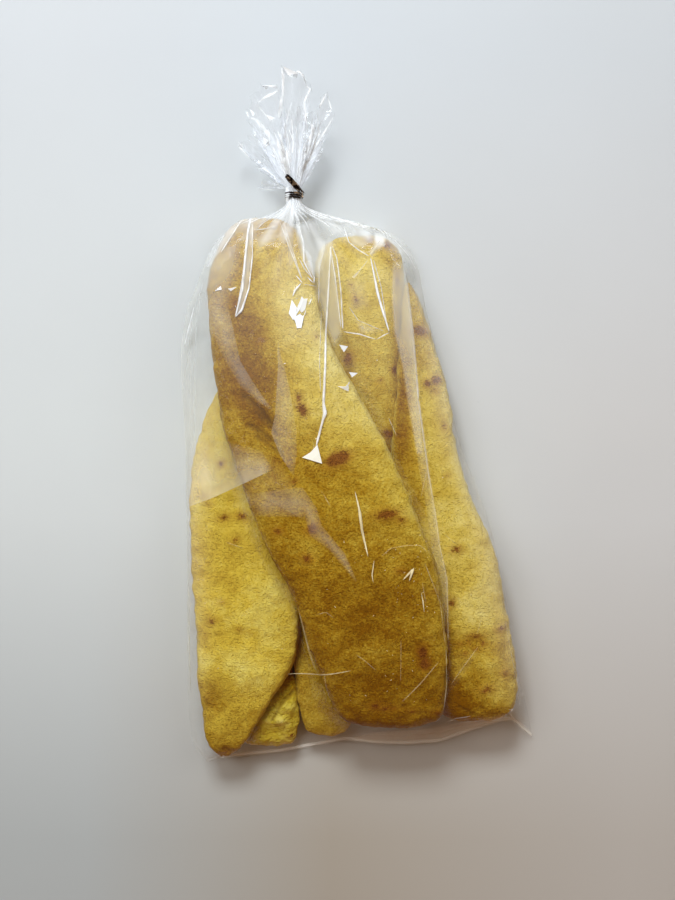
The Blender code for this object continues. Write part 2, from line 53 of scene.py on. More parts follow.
SLICES = {
    # rounding: how far the ends are rounded, low and high; mesh: steps round it and along it;
    # square: how square its cross section is; rough: how rough its crust is; stations: (y, left
    # edge, right edge, top height, thickness); bake: (y, how brown); pale_side: (y, how much
    # browner the left side is); rim: (y, how much paler the right edge is, painted light on a lit
    # right flank, or where negative how much browner); patches: (x, y, half width, half length,
    # rise, how much browner); cracks: (line, half width, depth); bits: (x, y, half width, half
    # length, turn in degrees). Some pale_side, rim and patch values are painted shade between slices.
    "bread_upper": {
        "ends": (-120.6, 78.5), "rounding": (7.5, 15), "mesh": (236, 330), "seed": 3,
        "square": 5.0, "rough": 1.25,
        "stations": [(-120.6, -6, 32.6, 24, 14), (-111.9, -9, 33.9, 27, 15.5),
                     (-101.3, -13.6, 34.5, 30, 16), (-87.5, -18.8, 34.2, 32.5, 16.5),
                     (-69.9, -24.2, 32.2, 34, 17), (-54.5, -32.3, 29.4, 35, 17),
                     (-39.1, -39.4, 23.2, 35.5, 17), (-23.6, -45, 16.9, 35.5, 17),
                     (-8.2, -49.9, 9.5, 35, 17), (7.2, -53.6, 1.7, 35, 17), (22.7, -55.6, -7.8, 34, 17),
                     (38.3, -57.4, -13.9, 33, 16.5), (53.9, -57.6, -17, 31, 16),
                     (67.8, -54, -21, 28.5, 15.5), (78.5, -52, -23, 26, 13.5)],
        "bake": [(-120.6, 0.95), (-90, 0.88), (-60, 0.86), (-42, 0.68), (-25, 0.6), (-8, 0.49),
                 (10, 0.43), (30, 0.4), (48, 0.42), (62, 0.5), (78.5, 0.54)],
        "pale_side": [(-120.6, 0), (-60, 0.03), (-30, 0.1), (-8, 0.18), (8, 0.34), (24, 0.4),
                      (42, 0.36), (60, 0.2), (78.5, 0)],
        # The paler right edge (rim) is painted light on the lit right flank.
        "rim": [(-120.6, 0.02), (-96, 0.18), (-78, 0.3), (-56, 0.3), (-20, 0.18), (20, 0.12),
                (78.5, 0.05)],
        # Painted shade: the first patch, a hollow, is browned partly as shade on its slope away from the
        # light.
        "patches": [(-39, 14, 9, 13, -1.5, 0.36), (-46, 22, 8, 14, -0.4, 0.14),
                    (-46, 40, 7, 13, -0.6, 0.2), (-38, 33, 6, 12, 0, 0.18), (-44, 12, 5, 16, 0, 0.1),
                    (-9, -19, 7, 4, 0, 0.14), (-52, 34, 5, 14, 0, -0.12), (-34, 14, 5, 8, 0, 0.08),
                    (-25, 1, 6, 8, 0, -0.16), (-48, 50, 7, 8, 0, 0.14), (-34, -3, 7, 6, -0.9, 0.26),
                    (-27, 42, 6, 14, 0.8, -0.08), (-27, -15.9, 9, 5, -0.4, 0.26),
                    (-11, -22, 7, 5, 0, 0.14), (-9, 0, 8, 12, 0.2, -0.24), (4, -4, 5, 9, 0.2, -0.1),
                    (-15, 18, 6, 10, 0.6, -0.14), (-25, -28, 4, 3.5, 0.5, -0.06),
                    (9, -34, 9, 6, 0.4, -0.14), (17, -48, 8, 10, 0.3, -0.2),
                    (-18, -50, 4.5, 4.5, 0.5, -0.34), (-17, -61, 6, 8, 0.2, -0.16),
                    (4.6, -57, 5, 5, 0.2, -0.12), (-20, -84, 3, 9, 0, -0.1), (8, -72, 9, 7, -0.3, 0.04),
                    (26, -76, 4, 8, 0.2, -0.12), (-9, -92, 6, 8, 0.3, -0.08),
                    (12, -101, 9, 7, -0.3, 0.02), (-6, -70, 3, 9, 0.2, -0.08),
                    (14, -88, 8, 4, 0.2, -0.1), (4, -116, 18, 4.5, 0, 0.12), (5, -94, 7, 6, 0.3, -0.1),
                    (25.2, -91.5, 2.4, 4.4, -0.3, 0.2)],
        "cracks": [([(-43.5, 8.5), (-37.5, 3.5), (-33, -3)], 1.2, 1.1),
                   ([(-41, -3), (-36.5, -5.5), (-31.5, -9.5)], 1.0, 1.0),
                   ([(-38, -7), (-33, -10.5), (-29, -13.5)], 0.9, 0.8),
                   ([(-38.5, 2), (-34.5, -1.5), (-31, -6)], 0.8, 0.7)],
        "bits": [(-7.6, -15.4, 5, 2.8, 20), (10.9, -36.5, 4.4, 1.8, 5), (16.5, -38.5, 1.6, 1.2, 0),
                 (24.8, -89.6, 1.9, 2.6, 0), (25.6, -93.8, 2.1, 2.5, 0), (6.9, -111, 2, 1.3, 8),
                 (10.4, -111.8, 2.2, 1.1, 0), (13.5, -111.8, 2, 0.9, 10), (-21.2, 3.3, 1.7, 2.6, 30),
                 (-22.6, 7.5, 1.3, 1.5, 0), (-19.3, -53.2, 1.7, 1.4, 0), (-17.4, -41.9, 2.6, 1.9, 40),
                 (-30.5, -43, 1.5, 1.2, 0), (15.9, -58.1, 1.5, 1.1, 0), (-36.8, 30, 1.2, 0.9, 0),
                 (-24, -24, 1.7, 1.1, 60), (-47, 44, 1.1, 1.3, 0), (29, -66, 1.1, 0.8, 0),
                 (-16, 31.5, 0.9, 1.2, 0), (21, -113, 1.4, 0.9, 0), (30.8, -113.5, 1.4, 1, 0)],
    },
    "bread_left": {
        "ends": (-134.2, 40.0), "rounding": (10, 16), "mesh": (196, 250), "seed": 11,
        "square": 8.0, "rough": 1.25,
        "stations": [(-134.2, -56.6, -49, 14, 12), (-126.1, -59.8, -43.4, 17, 15),
                     (-118.6, -60.8, -38.7, 18.5, 16.5), (-109.8, -61.7, -33.4, 19.5, 18),
                     (-102.2, -62.3, -28.4, 20.5, 19), (-91, -63, -23.6, 21, 19.5),
                     (-71.8, -64.2, -22.6, 21, 19.5), (-55.9, -65.4, -21.5, 20.5, 19),
                     (-36, -66, -21.5, 20, 18.5), (-16, -64.9, -23, 19, 17.5),
                     (3.9, -58.9, -25, 18, 16.5), (23.9, -49.7, -27.5, 17, 15.5),
                     (40, -44.8, -28.5, 15, 13.5)],
        "bake": [(-134.2, 0.75), (-126, 0.52), (-115, 0.4), (-102, 0.21), (-88, 0.13), (-70, 0.13),
                 (-52, 0.24), (-35, 0.12), (-10, 0.05), (5, 0.1), (40, 0.4)],
        "pale_side": [(-134.2, -0.05), (-100, 0.03), (-60, 0), (40, 0)],
        "rim": [(-134.2, 0), (-100, -0.12), (-60, -0.12), (-20, 0), (40, 0)],
        "patches": [(-36, -80, 12, 26, 0.2, -0.05), (-56.9, -109.9, 5.5, 8, -0.6, 0.42),
                    (-48.5, -56, 5, 5.5, -0.5, 0.22), (-53, -62, 4, 3, -0.3, 0.15),
                    (-36, -68, 7, 12, 0.6, -0.08), (-59.8, -84, 2.5, 8, -0.3, 0.22),
                    (-47.5, -86, 8, 4, -0.4, 0.14), (-43, -80, 9, 5, 0.5, -0.06),
                    (-44, -100, 10, 8, 0.6, -0.24), (-50, -38, 7, 3, -0.4, 0.2),
                    (-42, -34.5, 6, 3.5, 0.3, -0.2), (-61, -95, 4, 6, 0.3, -0.24),
                    (-48, -66, 4, 6, -0.3, 0.16), (-55.5, -120, 4, 4, 0.2, -0.2),
                    (-39, -88, 4, 6, -0.2, 0.12), (-56, -10, 3.5, 3, -0.2, 0.14),
                    (-58, -28, 6, 7, 0.4, -0.06), (-36, -58, 8, 18, 0.2, -0.08),
                    (-44, -122, 5, 5, 0.2, -0.08)],
        "cracks": [([(-52.5, -130.2), (-49.5, -131.4)], 1.1, 0.6)],
        "bits": [(-52, -38.5, 2, 1.2, 10), (-45, -38, 2.2, 1.3, -10), (-48, -47.5, 1.5, 1.1, 30),
                 (-53.5, -17.5, 1.2, 1.2, 0), (-57, -79, 1.2, 1.3, 0), (-53, -71.5, 1.6, 0.9, 10),
                 (-60, -30, 1.3, 0.9, 0), (-46, -82, 1, 0.8, 0), (-58.5, -33, 1.2, 0.9, 0),
                 (-63, -104, 1.1, 1.6, 0), (-52, -131.8, 1.6, 0.9, 20)],
    },
    "bread_middle": {
        "ends": (-126.8, 73.5), "rounding": (8, 11), "mesh": (170, 250), "seed": 23,
        "square": 4.5, "rough": 1.25,
        "stations": [(-126.8, -21.4, -3.6, 11, 9.5), (-118.5, -22.2, -1, 12, 11),
                     (-108.4, -24.2, 3.7, 13, 12), (-92.2, -24.8, 7.2, 13.5, 12.5),
                     (-72.2, -25, 9, 14, 13), (-48.1, -24, 10.6, 14.5, 13.5),
                     (-20.1, -19.5, 14.2, 15.5, 14.5), (7.9, -18.3, 16.6, 16.5, 15.5),
                     (35.9, -17.6, 17.4, 17.5, 16), (55.9, -17.3, 18.4, 17.5, 15.5),
                     (73.5, -15, 17.2, 15.5, 13.5)],
        "bake": [(-126.8, 0.6), (-112, 0.56), (-60, 0.53), (-14, 0.56), (0, 0.45), (20, 0.36),
                 (45, 0.22), (60, 0.22), (73.5, 0.34)],
        # Painted shade: the browner right side, the browner right edge where rim is negative and the
        # brown patches along the right edge stand for the shade in the gap beside the right slice.
        "pale_side": [(-126.8, 0), (-30, 0), (0, -0.06), (30, -0.06), (73.5, -0.08)],
        "rim": [(-126.8, 0), (-40, 0), (-10, -0.2), (40, -0.2), (73.5, 0)],
        "patches": [(12, -9, 3.6, 4, -0.4, 0.16), (-4.4, 24, 2.6, 8, -0.4, 0.26),
                    (4, 58, 7, 6, 0.8, -0.15), (9, 30, 7, 12, 0.6, -0.05), (14, 60, 3.5, 5, -0.6, 0.18),
                    (-4.5, 60, 2.5, 3.5, -0.5, 0.16), (16.5, 42, 2.5, 12, -0.3, 0.2),
                    (16.5, 61, 2.5, 8, -0.4, 0.2), (16, 24, 2, 14, -0.3, 0.2)],
        "cracks": [],
        "bits": [(15, 19.4, 1.7, 1.7, 0), (12.4, -5.6, 2.8, 1.5, -10), (16, 54.5, 1.3, 2.2, 0),
                 (-0.8, 47.4, 1, 1.9, 20), (-2.6, 52.6, 0.9, 1.2, 0), (5, 71, 1.6, 1.3, 0),
                 (9, 15.5, 0.9, 0.8, 0), (12, 68.8, 1.8, 1.5, 0), (-3.6, 24, 1.5, 2.6, 0)],
    },
    "bread_right": {
        "ends": (-119.4, 55.0), "rounding": (9, 16), "mesh": (170, 240), "seed": 37,
        "square": 4.5, "rough": 1.25,
        "stations": [(-119.4, 33, 61.4, 19, 17), (-111.7, 29.4, 62.6, 21, 19.5),
                     (-97.5, 28, 62.8, 22.5, 21), (-83.6, 28.4, 60.3, 22.5, 21),
                     (-67.7, 28, 57, 22, 20.5), (-51.9, 25.4, 54.3, 21.5, 20),
                     (-40, 19, 49.6, 21, 19.5), (-30, 14.2, 44.8, 20.5, 19),
                     (-12.1, 12.8, 39.4, 19.5, 18), (7.9, 15, 36.4, 18.5, 17),
                     (27.9, 16.2, 31, 17.5, 16), (44, 17.4, 26.1, 16, 14.5),
                     (55, 17.6, 22.4, 14, 12.5)],
        "bake": [(-119.4, 0.76), (-108, 0.6), (-94, 0.54), (-80, 0.42), (-64, 0.22), (-40, 0.18),
                 (-15, 0.22), (10, 0.3), (30, 0.46), (55, 0.62)],
        # Painted light and shade: the browner left side low down and the brown patches along the left
        # flank are painted shade under the upper slice's edge, and the paler right edge (rim) is painted
        # light on the lit right flank.
        "pale_side": [(-119.4, 0.24), (-80, 0.24), (-60, 0.1), (-30, 0.02), (55, 0)],
        "rim": [(-119.4, 0), (-60, 0.06), (-36, 0.34), (4, 0.46), (24, 0.3), (55, 0)],
        "patches": [(46, -86.5, 6, 2.6, -0.7, 0.26), (33, -96, 4.5, 12, -0.5, 0.32),
                    (37, -110, 7, 7, -0.4, 0.44), (50, -60, 5, 9, 0.7, -0.08),
                    (44, -77, 8, 8, 0.6, -0.4), (36, -38, 5, 9, -0.4, 0), (58, -90, 3, 7, -0.4, 0.2),
                    (49.5, -95, 5, 4.5, 0.5, -0.2), (52.5, -106, 5, 4.5, 0.3, -0.34),
                    (20, -18, 3.5, 22, -0.2, 0.3), (15.6, 4, 3.6, 26, -0.6, 0.8),
                    (24, -34, 3.5, 18, -0.2, 0.34), (38, -88, 4, 3, -0.3, 0.2),
                    (34, -86, 2.2, 16, -0.3, 0.36), (52, -91, 5, 4, -0.2, 0.12),
                    (41, -97, 3, 3, 0.3, -0.18), (47, -101, 4, 3, -0.3, 0.2),
                    (44, -112.5, 8, 6, 0, 0.24), (42, -20, 3, 8, 0.2, -0.06), (57, -114, 5, 3, 0, 0.2),
                    (19.8, 10, 2.6, 16, -0.2, 0.24)],
        "cracks": [([(40, -112.5), (45, -115.5)], 0.8, 0.6)],
        "bits": [(24.8, 34.8, 3.4, 2, -6), (31, 15.4, 2.2, 1.8, 20), (27.6, 14, 1.7, 1.5, 0),
                 (30.4, 11.4, 1.4, 0.9, 0), (45.9, -84.4, 2.6, 1.1, 0), (43.4, -87, 1, 1.4, 0),
                 (48.9, -87.4, 1, 1.4, 0), (46.3, -89.6, 1.8, 0.9, 0), (40.5, -87.6, 1.4, 0.9, 20),
                 (56.3, -81.6, 2, 1.2, 20), (42.2, -91, 1.3, 0.9, 0), (50.4, -105.4, 2.6, 1.3, 15),
                 (38.5, -50.7, 2.2, 1.3, 10), (36.9, -71.8, 1.3, 1.6, 0), (35, -22, 1.1, 0.8, 0),
                 (57.5, -99, 1, 1.4, 0), (34, -3, 0.9, 1.2, 0)],
    },
    "bread_broken_end": {
        "ends": (-131.0, -97.0), "rounding": (4, 10), "mesh": (150, 120), "seed": 53,
        "square": 4.0, "rough": 1.6,
        "stations": [(-131, -47.5, -25.6, 9, 8), (-126.1, -43.4, -24.2, 11.5, 10.5),
                     (-118.6, -39.2, -23, 13, 12), (-109.8, -34, -23.8, 12.5, 11.5),
                     (-102.2, -29, -24.6, 11.5, 10.5), (-97, -27.5, -25.4, 10, 9)],
        "bake": [(-131, 0.28), (-118, 0.3), (-110, 0.44), (-104, 0.8), (-97, 1)],
        "pale_side": [(-131, 0), (-97, 0)],
        "rim": [(-131, 0), (-97, 0)],
        "patches": [(-27, -114.5, 3, 2.5, 1.6, -0.25), (-30.5, -119.5, 1.8, 1.3, 1.2, -0.3),
                    (-33, -124, 5, 3, -0.8, 0.1), (-25.5, -121, 1.6, 5, -0.5, 0.2)],
        "cracks": [([(-25, -108), (-30, -113), (-33.5, -119)], 0.8, 0.6)],
        "bits": [(-26, -126, 1.6, 1, 20)],
    },
}
END_POWER = 2.6                              # how square a slice's ends are
LUMP, DIMPLE, GRAIN = 0.6, 0.32, 0.1         # heights of the crust's relief
LUMP_SIZES, DIMPLE_SIZE, GRAIN_SIZE = (15.0, 7.0), 3.2, 1.1
RIM_START = 0.62                             # how far out to the right the paler rim starts
BIT_REACH, BIT_FAR, BIT_RIM = 9.0, 4.0, 0.2  # reach of the filling's bits, height of their rims
LOWEST = 0.6                                 # no part of a slice lies lower


def through(stations, y):
    """Values at y on a smooth curve (Catmull-Rom) through stations of (y, value, ...)."""
    last = len(stations) - 1
    y = min(max(y, stations[0][0]), stations[last][0])
    k = max(j for j in range(last) if stations[j][0] <= y)
    before, start = stations[max(k - 1, 0)], stations[k]
    end, after = stations[k + 1], stations[min(k + 2, last)]
    span = end[0] - start[0]
    t = (y - start[0]) / span
    values = []
    for j in range(1, len(start)):
        m0 = (end[j] - before[j]) / (end[0] - before[0]) * span
        m1 = (after[j] - start[j]) / (after[0] - start[0]) * span
        values.append((2 * t**3 - 3 * t**2 + 1) * start[j] + (t**3 - 2 * t**2 + t) * m0
                      + (3 * t**2 - 2 * t**3) * end[j] + (t**3 - t**2) * m1)
    return values


def ring_places(low, high, rounding, rings):
    """y of each ring, closer together round both ends, with the share of full width there."""
    places = []
    for k in range(rings + 1):
        v = k / rings
        turn = 0.5 - 0.5 * math.cos(math.pi * v)
        y = low + (high - low) * (0.55 * v + 0.45 * turn)
        share = 1.0
        for distance, length in ((y - low, rounding[0]), (high - y, rounding[1])):
            if distance < length:
                share *= max(0.0, 1.0 - (1.0 - distance / length) ** END_POWER) ** (1 / END_POWER)
        places.append((y, share if 0 < k < rings else 0.0))
    return places


def slab_section(around, power):
    """Evenly spaced points round a rounded slab of half width 1 and half height 1/3."""
    angle = np.linspace(-math.pi, math.pi, 1601)
    cosine, sine = np.cos(angle), np.sin(angle)
    x = np.sign(cosine) * np.abs(cosine) ** (2 / power)
    z = np.sign(sine) * np.abs(sine) ** (2 / power)
    length = np.concatenate([[0.0], np.cumsum(np.hypot(np.diff(x), np.diff(z) / 3.0))])
    even = np.linspace(0.0, length[-1], around + 1)
    return np.interp(even, length, x), np.interp(even, length, z)


def line_gap(x, y, points):
    """Distance from (x, y) to a bent line."""
    gap = 1e9
    for (ax, ay), (bx, by) in zip(points, points[1:]):
        dx, dy = bx - ax, by - ay
        t = min(1.0, max(0.0, ((x - ax) * dx + (y - ay) * dy) / (dx * dx + dy * dy)))
        gap = min(gap, math.hypot(x - ax - t * dx, y - ay - t * dy))
    return gap


def grid_place(vert, across, along):
    """Column and row of a point of a fresh grid that is two units wide and long."""
    return round((vert.co.x + 1.0) / 2.0 * across), round((vert.co.y + 1.0) / 2.0 * along)


def placed(name, data):
    """A new object in the scene."""
    made = bpy.data.objects.new(name, data)
    bpy.context.collection.objects.link(made)
    return made


def finished_mesh(name, bm, smooth=True):
    """A piece from a bmesh in the drawing's millimetres."""
    bmesh.ops.transform(bm, matrix=Matrix.Translation(CENTRING), verts=bm.verts)
    bmesh.ops.scale(bm, vec=(MM, MM, MM), verts=bm.verts)
    mesh = bpy.data.meshes.new(name)
    bm.to_mesh(mesh)
    bm.free()
    if smooth:
        mesh.shade_smooth()
    return placed(name, mesh)


def paint(mesh, name, values):
    """Stores one value for each vertex, for a material to read."""
    layer = mesh.attributes.new(name, "FLOAT", "POINT")
    layer.data.foreach_set("value", np.asarray(values, np.float32).ravel())


def crust_at(piece, point, normal):
    """(lift, how brown, gap to the nearest bit, depth in a crack) of the crust at a point."""
    x, y, z = point
    shift = Vector((piece["seed"] * 17.0, piece["seed"] * 5.0, 0.0))
    lumps = noise.noise(point / LUMP_SIZES[0] + shift) + 0.5 * noise.noise(point / LUMP_SIZES[1] - shift)
    dimples = noise.noise(point / DIMPLE_SIZE + shift)
    grain = noise.noise(point / GRAIN_SIZE - shift)
    lift = LUMP * lumps + (DIMPLE * dimples + GRAIN * grain) * piece["rough"]
    left, right, top, thickness = through(piece["stations"], y)
    across = (2.0 * x - left - right) / (right - left)
    bake = through(piece["bake"], y)[0] - through(piece["pale_side"], y)[0] * across
    bake += 0.1 * noise.noise(point / 11.0 - shift) + 0.05 * dimples - 0.05 * lumps
    # Painted light and shade at the right edge: paler on a lit flank, browner in shade where rim is
    # negative.
    bake -= through(piece["rim"], y)[0] * max(0.0, (across - RIM_START) / (1.0 - RIM_START)) ** 1.3
    lift += 0.5 * noise.noise(point / 4.0 + shift) * abs(normal.x)
    low = (top - z) / thickness
    bake -= 0.4 * max(0.0, min(1.0, 3.0 * low - 0.3)) * max(0.0, bake - 0.1)
    up = max(0.0, normal.z)
    for px, py, rx, ry, rise, brown in piece["patches"]:
        far = ((x - px) / rx) ** 2 + ((y - py) / ry) ** 2
        if far < 6.0:
            hump = math.exp(-far) * up
            lift += rise * hump
            bake += brown * hump
    crack = 0.0
    for points, width, depth in piece["cracks"]:
        gap = line_gap(x, y, points) + 0.4 * noise.noise(point / 2.0)
        slit = math.exp(-(gap / width) ** 2) * up
        lift -= depth * slit
        crack = max(crack, slit)
    bit_gap = BIT_FAR
    if normal.z > 0.15:
        for bx, by, rx, ry, degrees in piece["bits"]:
            if abs(x - bx) < BIT_REACH and abs(y - by) < BIT_REACH:
                turn = math.radians(degrees)
                along = (x - bx) * math.cos(turn) + (y - by) * math.sin(turn)
                aside = (y - by) * math.cos(turn) - (x - bx) * math.sin(turn)
                gap = (math.hypot(along / rx, aside / ry) - 1.0) * min(rx, ry)
                gap += 0.9 * max(0.0, 1.4 - min(rx, ry))
                bit_gap = min(bit_gap, gap)
        lift += BIT_RIM * max(0.0, 1.0 - abs(bit_gap + 0.4) / 1.2) * (1.0 + 2.0 * dimples)
    return lift, bake, bit_gap, crack


def bread_slice(name, piece):
    """A stick of bread: a tube of rings that closes round both ends, with its crust's relief."""
    around, rings = piece["mesh"]
    bm = bmesh.new()
    bmesh.ops.create_grid(bm, x_segments=around, y_segments=rings, size=1.0)
    section_x, section_z = slab_section(around, piece["square"])
    places = ring_places(*piece["ends"], piece["rounding"], rings)
    for vert in bm.verts:
        i, k = grid_place(vert, around, rings)
        y, share = places[k]
        left, right, top, thickness = through(piece["stations"], y)
        x = (left + right) / 2.0 + (right - left) / 2.0 * share * section_x[i]
        z = top - thickness / 2.0 + thickness / 2.0 * share**0.6 * section_z[i]
        vert.co = (x, y, z)
    bmesh.ops.remove_doubles(bm, verts=bm.verts, dist=0.0005)
    bmesh.ops.recalc_face_normals(bm, faces=bm.faces)
    bm.normal_update()
    facts = [crust_at(piece, vert.co.copy(), vert.normal) for vert in bm.verts]
    lifted = [vert.co + vert.normal * fact[0] for vert, fact in zip(bm.verts, facts)]
    for vert, place in zip(bm.verts, lifted):
        vert.co = (place.x, place.y, max(place.z, LOWEST))
    piece_object = finished_mesh(name, bm)
    for k, layer in enumerate(("bake", "bit_gap", "crack"), start=1):
        paint(piece_object.data, layer, [fact[k] for fact in facts])
    return piece_object


def node(tree, kind, inputs=None, **settings):
    """A node with its settings, its inputs set to values or linked to other nodes' outputs."""
    made = tree.nodes.new(kind)
    for key, value in settings.items():
        setattr(made, key, value)
    for key, value in (inputs or {}).items():
        if isinstance(value, bpy.types.NodeSocket):
            tree.links.new(value, made.inputs[key])
        else:
            made.inputs[key].default_value = value
    return made


def sums(tree, operation, a, b=0.0, clamp=False):
    """The output of a Math node."""
    return node(tree, "ShaderNodeMath", {0: a, 1: b}, operation=operation, use_clamp=clamp).outputs[0]


def ranged(tree, value, low, high, to_low=0.0, to_high=1.0):
    """The output of a clamped Map Range node."""
    limits = {"Value": value, "From Min": low, "From Max": high, "To Min": to_low, "To Max": to_high}
    return node(tree, "ShaderNodeMapRange", limits).outputs[0]


def mixed(tree, factor, a, b):
    """The colour output of a Mix node."""
    return node(tree, "ShaderNodeMix", {0: factor, 6: a, 7: b}, data_type="RGBA").outputs[2]


def fresh_material(name):
    """An empty material: its tree and its output node."""
    material = bpy.data.materials.new(name)
    material.use_nodes = True
    material.node_tree.nodes.clear()
    return material, material.node_tree, node(material.node_tree, "ShaderNodeOutputMaterial")


def noise_of(tree, coordinates, scale, detail=3.0, roughness=0.55):
    """The value output of a Noise Texture node."""
    made = node(tree, "ShaderNodeTexNoise", {"Vector": coordinates, "Scale": scale, "Detail": detail,
                                             "Roughness": roughness})
    return made.outputs["Fac"]


def attribute(tree, name):
    """The value output of an Attribute node."""
    return node(tree, "ShaderNodeAttribute", attribute_name=name).outputs["Fac"]


def object_place(tree):
    """Where a point lies on its piece, in metres."""
    return node(tree, "ShaderNodeTexCoord").outputs["Object"]


def axis_of(tree, place, axis):
    """One of the coordinates of a place."""
    return node(tree, "ShaderNodeSeparateXYZ", {"Vector": place}).outputs[axis]


def effect_group(name, inputs, outputs):
    """An empty node group with named sockets: its tree, its input sockets and its output node."""
    tree = bpy.data.node_groups.new(name, "ShaderNodeTree")
    for socket, kind in inputs:
        tree.interface.new_socket(socket, in_out="INPUT", socket_type=kind)
    for socket in outputs:
        tree.interface.new_socket(socket, in_out="OUTPUT", socket_type="NodeSocketFloat")
    return tree, tree.nodes.new("NodeGroupInput").outputs, tree.nodes.new("NodeGroupOutput")


def dough_grain():
    """Baked dough's grain: patches a centimetre wide, blotches of 3 to 5 mm, mottles, a fine grain
    and sharp specks (pores 1, dust -1), each from -1 to 1, and the height of its fine relief."""
    tree, given, out = effect_group(
        "dough grain", [("Vector", "NodeSocketVector"), ("Mottle Scale", "NodeSocketFloat"),
                        ("Grain Scale", "NodeSocketFloat")],
        ("Patches", "Blotches", "Mottle", "Grain", "Specks", "Height"))
    patches = noise_of(tree, given["Vector"], 95.0, 3.0, 0.55)
    mottle = noise_of(tree, given["Vector"], given["Mottle Scale"], 2.0, 0.5)
    grain = noise_of(tree, given["Vector"], given["Grain Scale"], 2.0, 0.6)
    for socket, value in (("Patches", patches), ("Mottle", mottle), ("Grain", grain)):
        tree.links.new(ranged(tree, value, 0.32, 0.68, -1.0, 1.0), out.inputs[socket])
    fine = noise_of(tree, given["Vector"], sums(tree, "MULTIPLY", given["Grain Scale"], 0.62), 0.0)
    pores = ranged(tree, fine, 0.31, 0.4, 1.0, 0.0)
    specks = sums(tree, "SUBTRACT", pores, ranged(tree, fine, 0.6, 0.68))
    tree.links.new(specks, out.inputs["Specks"])
    blotches = noise_of(tree, given["Vector"], 290.0, 3.0, 0.6)
    tree.links.new(ranged(tree, blotches, 0.36, 0.64, -1.0, 1.0), out.inputs["Blotches"])
    height = sums(tree, "SUBTRACT", sums(tree, "ADD", sums(tree, "MULTIPLY", mottle, 0.6), grain), pores)
    tree.links.new(height, out.inputs["Height"])
    return tree


grain_group = dough_grain()
# Painted shade in the cracks; brown stain round the bits of filling.
PAINTED_CRACK_SHADE, STAIN_BROWN = (0.16, 0.07, 0.008, 1.0), (0.36, 0.14, 0.01, 1.0)
FILLING_DARK, FILLING_LIGHT = (0.14, 0.034, 0.004, 1.0), (0.3, 0.1, 0.014, 1.0)
PATCH_SHARE = 0.75
GRAIN_SHARES = (("Blotches", 0.5), ("Mottle", 0.64), ("Grain", 0.66), ("Specks", 0.3))


def dough_material(name, stops, mottle_scale, mottling, bump):
    """Baked dough: a ramp from pale to brown driven by how far it is baked, with the painted light
    and shade that the bake attribute also carries, mottled by its grain, with painted shade in its
    cracks and reddish brown bits of filling in it."""
    material, tree, output = fresh_material(name)
    grain = node(tree, "ShaderNodeGroup", {"Vector": object_place(tree), "Mottle Scale": mottle_scale,
                                           "Grain Scale": 1.9 * mottle_scale}, node_tree=grain_group)
    baked = attribute(tree, "bake")
    coarse = ranged(tree, baked, 0.1, 0.75, 0.6 * mottling, 1.15 * mottling)
    patchy = sums(tree, "MULTIPLY", grain.outputs["Patches"], PATCH_SHARE * mottling)
    bake = sums(tree, "ADD", baked, patchy)
    for socket, share in GRAIN_SHARES:
        amount = sums(tree, "MULTIPLY", coarse, share)
        bake = sums(tree, "ADD", bake, sums(tree, "MULTIPLY", grain.outputs[socket], amount))
    ramp = node(tree, "ShaderNodeValToRGB", {"Fac": ranged(tree, bake, -0.4, 1.05)})
    elements = ramp.color_ramp.elements
    while len(elements) < len(stops):
        elements.new(0.5)
    for element, (position, colour) in zip(elements, stops):
        element.position = position
        element.color = (*colour, 1.0)
    # Painted shade in the cracks.
    crack_shade = sums(tree, "MULTIPLY", attribute(tree, "crack"), 0.55)
    colour = mixed(tree, crack_shade, ramp.outputs["Color"], PAINTED_CRACK_SHADE)
    ragged = attribute(tree, "bit_gap")
    for socket, share in (("Mottle", 0.5), ("Grain", 0.3)):
        ragged = sums(tree, "ADD", ragged, sums(tree, "MULTIPLY", grain.outputs[socket], share))
    colour = mixed(tree, ranged(tree, ragged, -0.6, 2.0, 0.5, 0.0), colour, STAIN_BROWN)
    fleck = ranged(tree, grain.outputs["Grain"], -0.6, 0.8)
    filling = mixed(tree, fleck, FILLING_DARK, FILLING_LIGHT)
    colour = mixed(tree, ranged(tree, ragged, -0.8, 0.3, 0.9, 0.0), colour, filling)
    relief = node(tree, "ShaderNodeBump", {"Height": grain.outputs["Height"], "Distance": bump,
                                           "Strength": 0.8})
    shader = node(tree, "ShaderNodeBsdfPrincipled", {
        "Base Color": colour, "Normal": relief.outputs[0], "Roughness": 0.8,
        "Specular IOR Level": 0.06, "Sheen Weight": 0.04, "Sheen Roughness": 0.4,
        "Sheen Tint": (1.0, 0.88, 0.62, 1.0)})
    tree.links.new(shader.outputs[0], output.inputs["Surface"])
    return material


def worn_by(piece, material, slot, *replaced):
    """Gives a finished piece its material and says what it is part of."""
    piece.data.materials.append(material)
    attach(piece, "root")
    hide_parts(*replaced)


# (how far it is baked, colour)
CRUST_STOPS = [(0.0, (0.84, 0.74, 0.36)), (0.2, (0.785, 0.63, 0.19)), (0.4, (0.7, 0.51, 0.085)),
               (0.6, (0.54, 0.345, 0.032)), (0.8, (0.38, 0.2, 0.009)), (1.0, (0.24, 0.095, 0.002))]
CRUMB_STOPS = [(0.0, (0.82, 0.71, 0.28)), (0.25, (0.68, 0.54, 0.11)), (0.5, (0.55, 0.4, 0.035)),
               (0.8, (0.42, 0.24, 0.006)), (1.0, (0.24, 0.09, 0.002))]
YELLOW_STOPS = [(0.0, (0.86, 0.73, 0.25)), (0.2, (0.8, 0.635, 0.13)), (0.4, (0.71, 0.5, 0.055)),
                *CRUST_STOPS[3:]]
CRUST_SCALE, CRUMB_SCALE, MOTTLING, CRUST_BUMP, CRUMB_BUMP = 1100.0, 700.0, 0.15, 0.0006, 0.0004
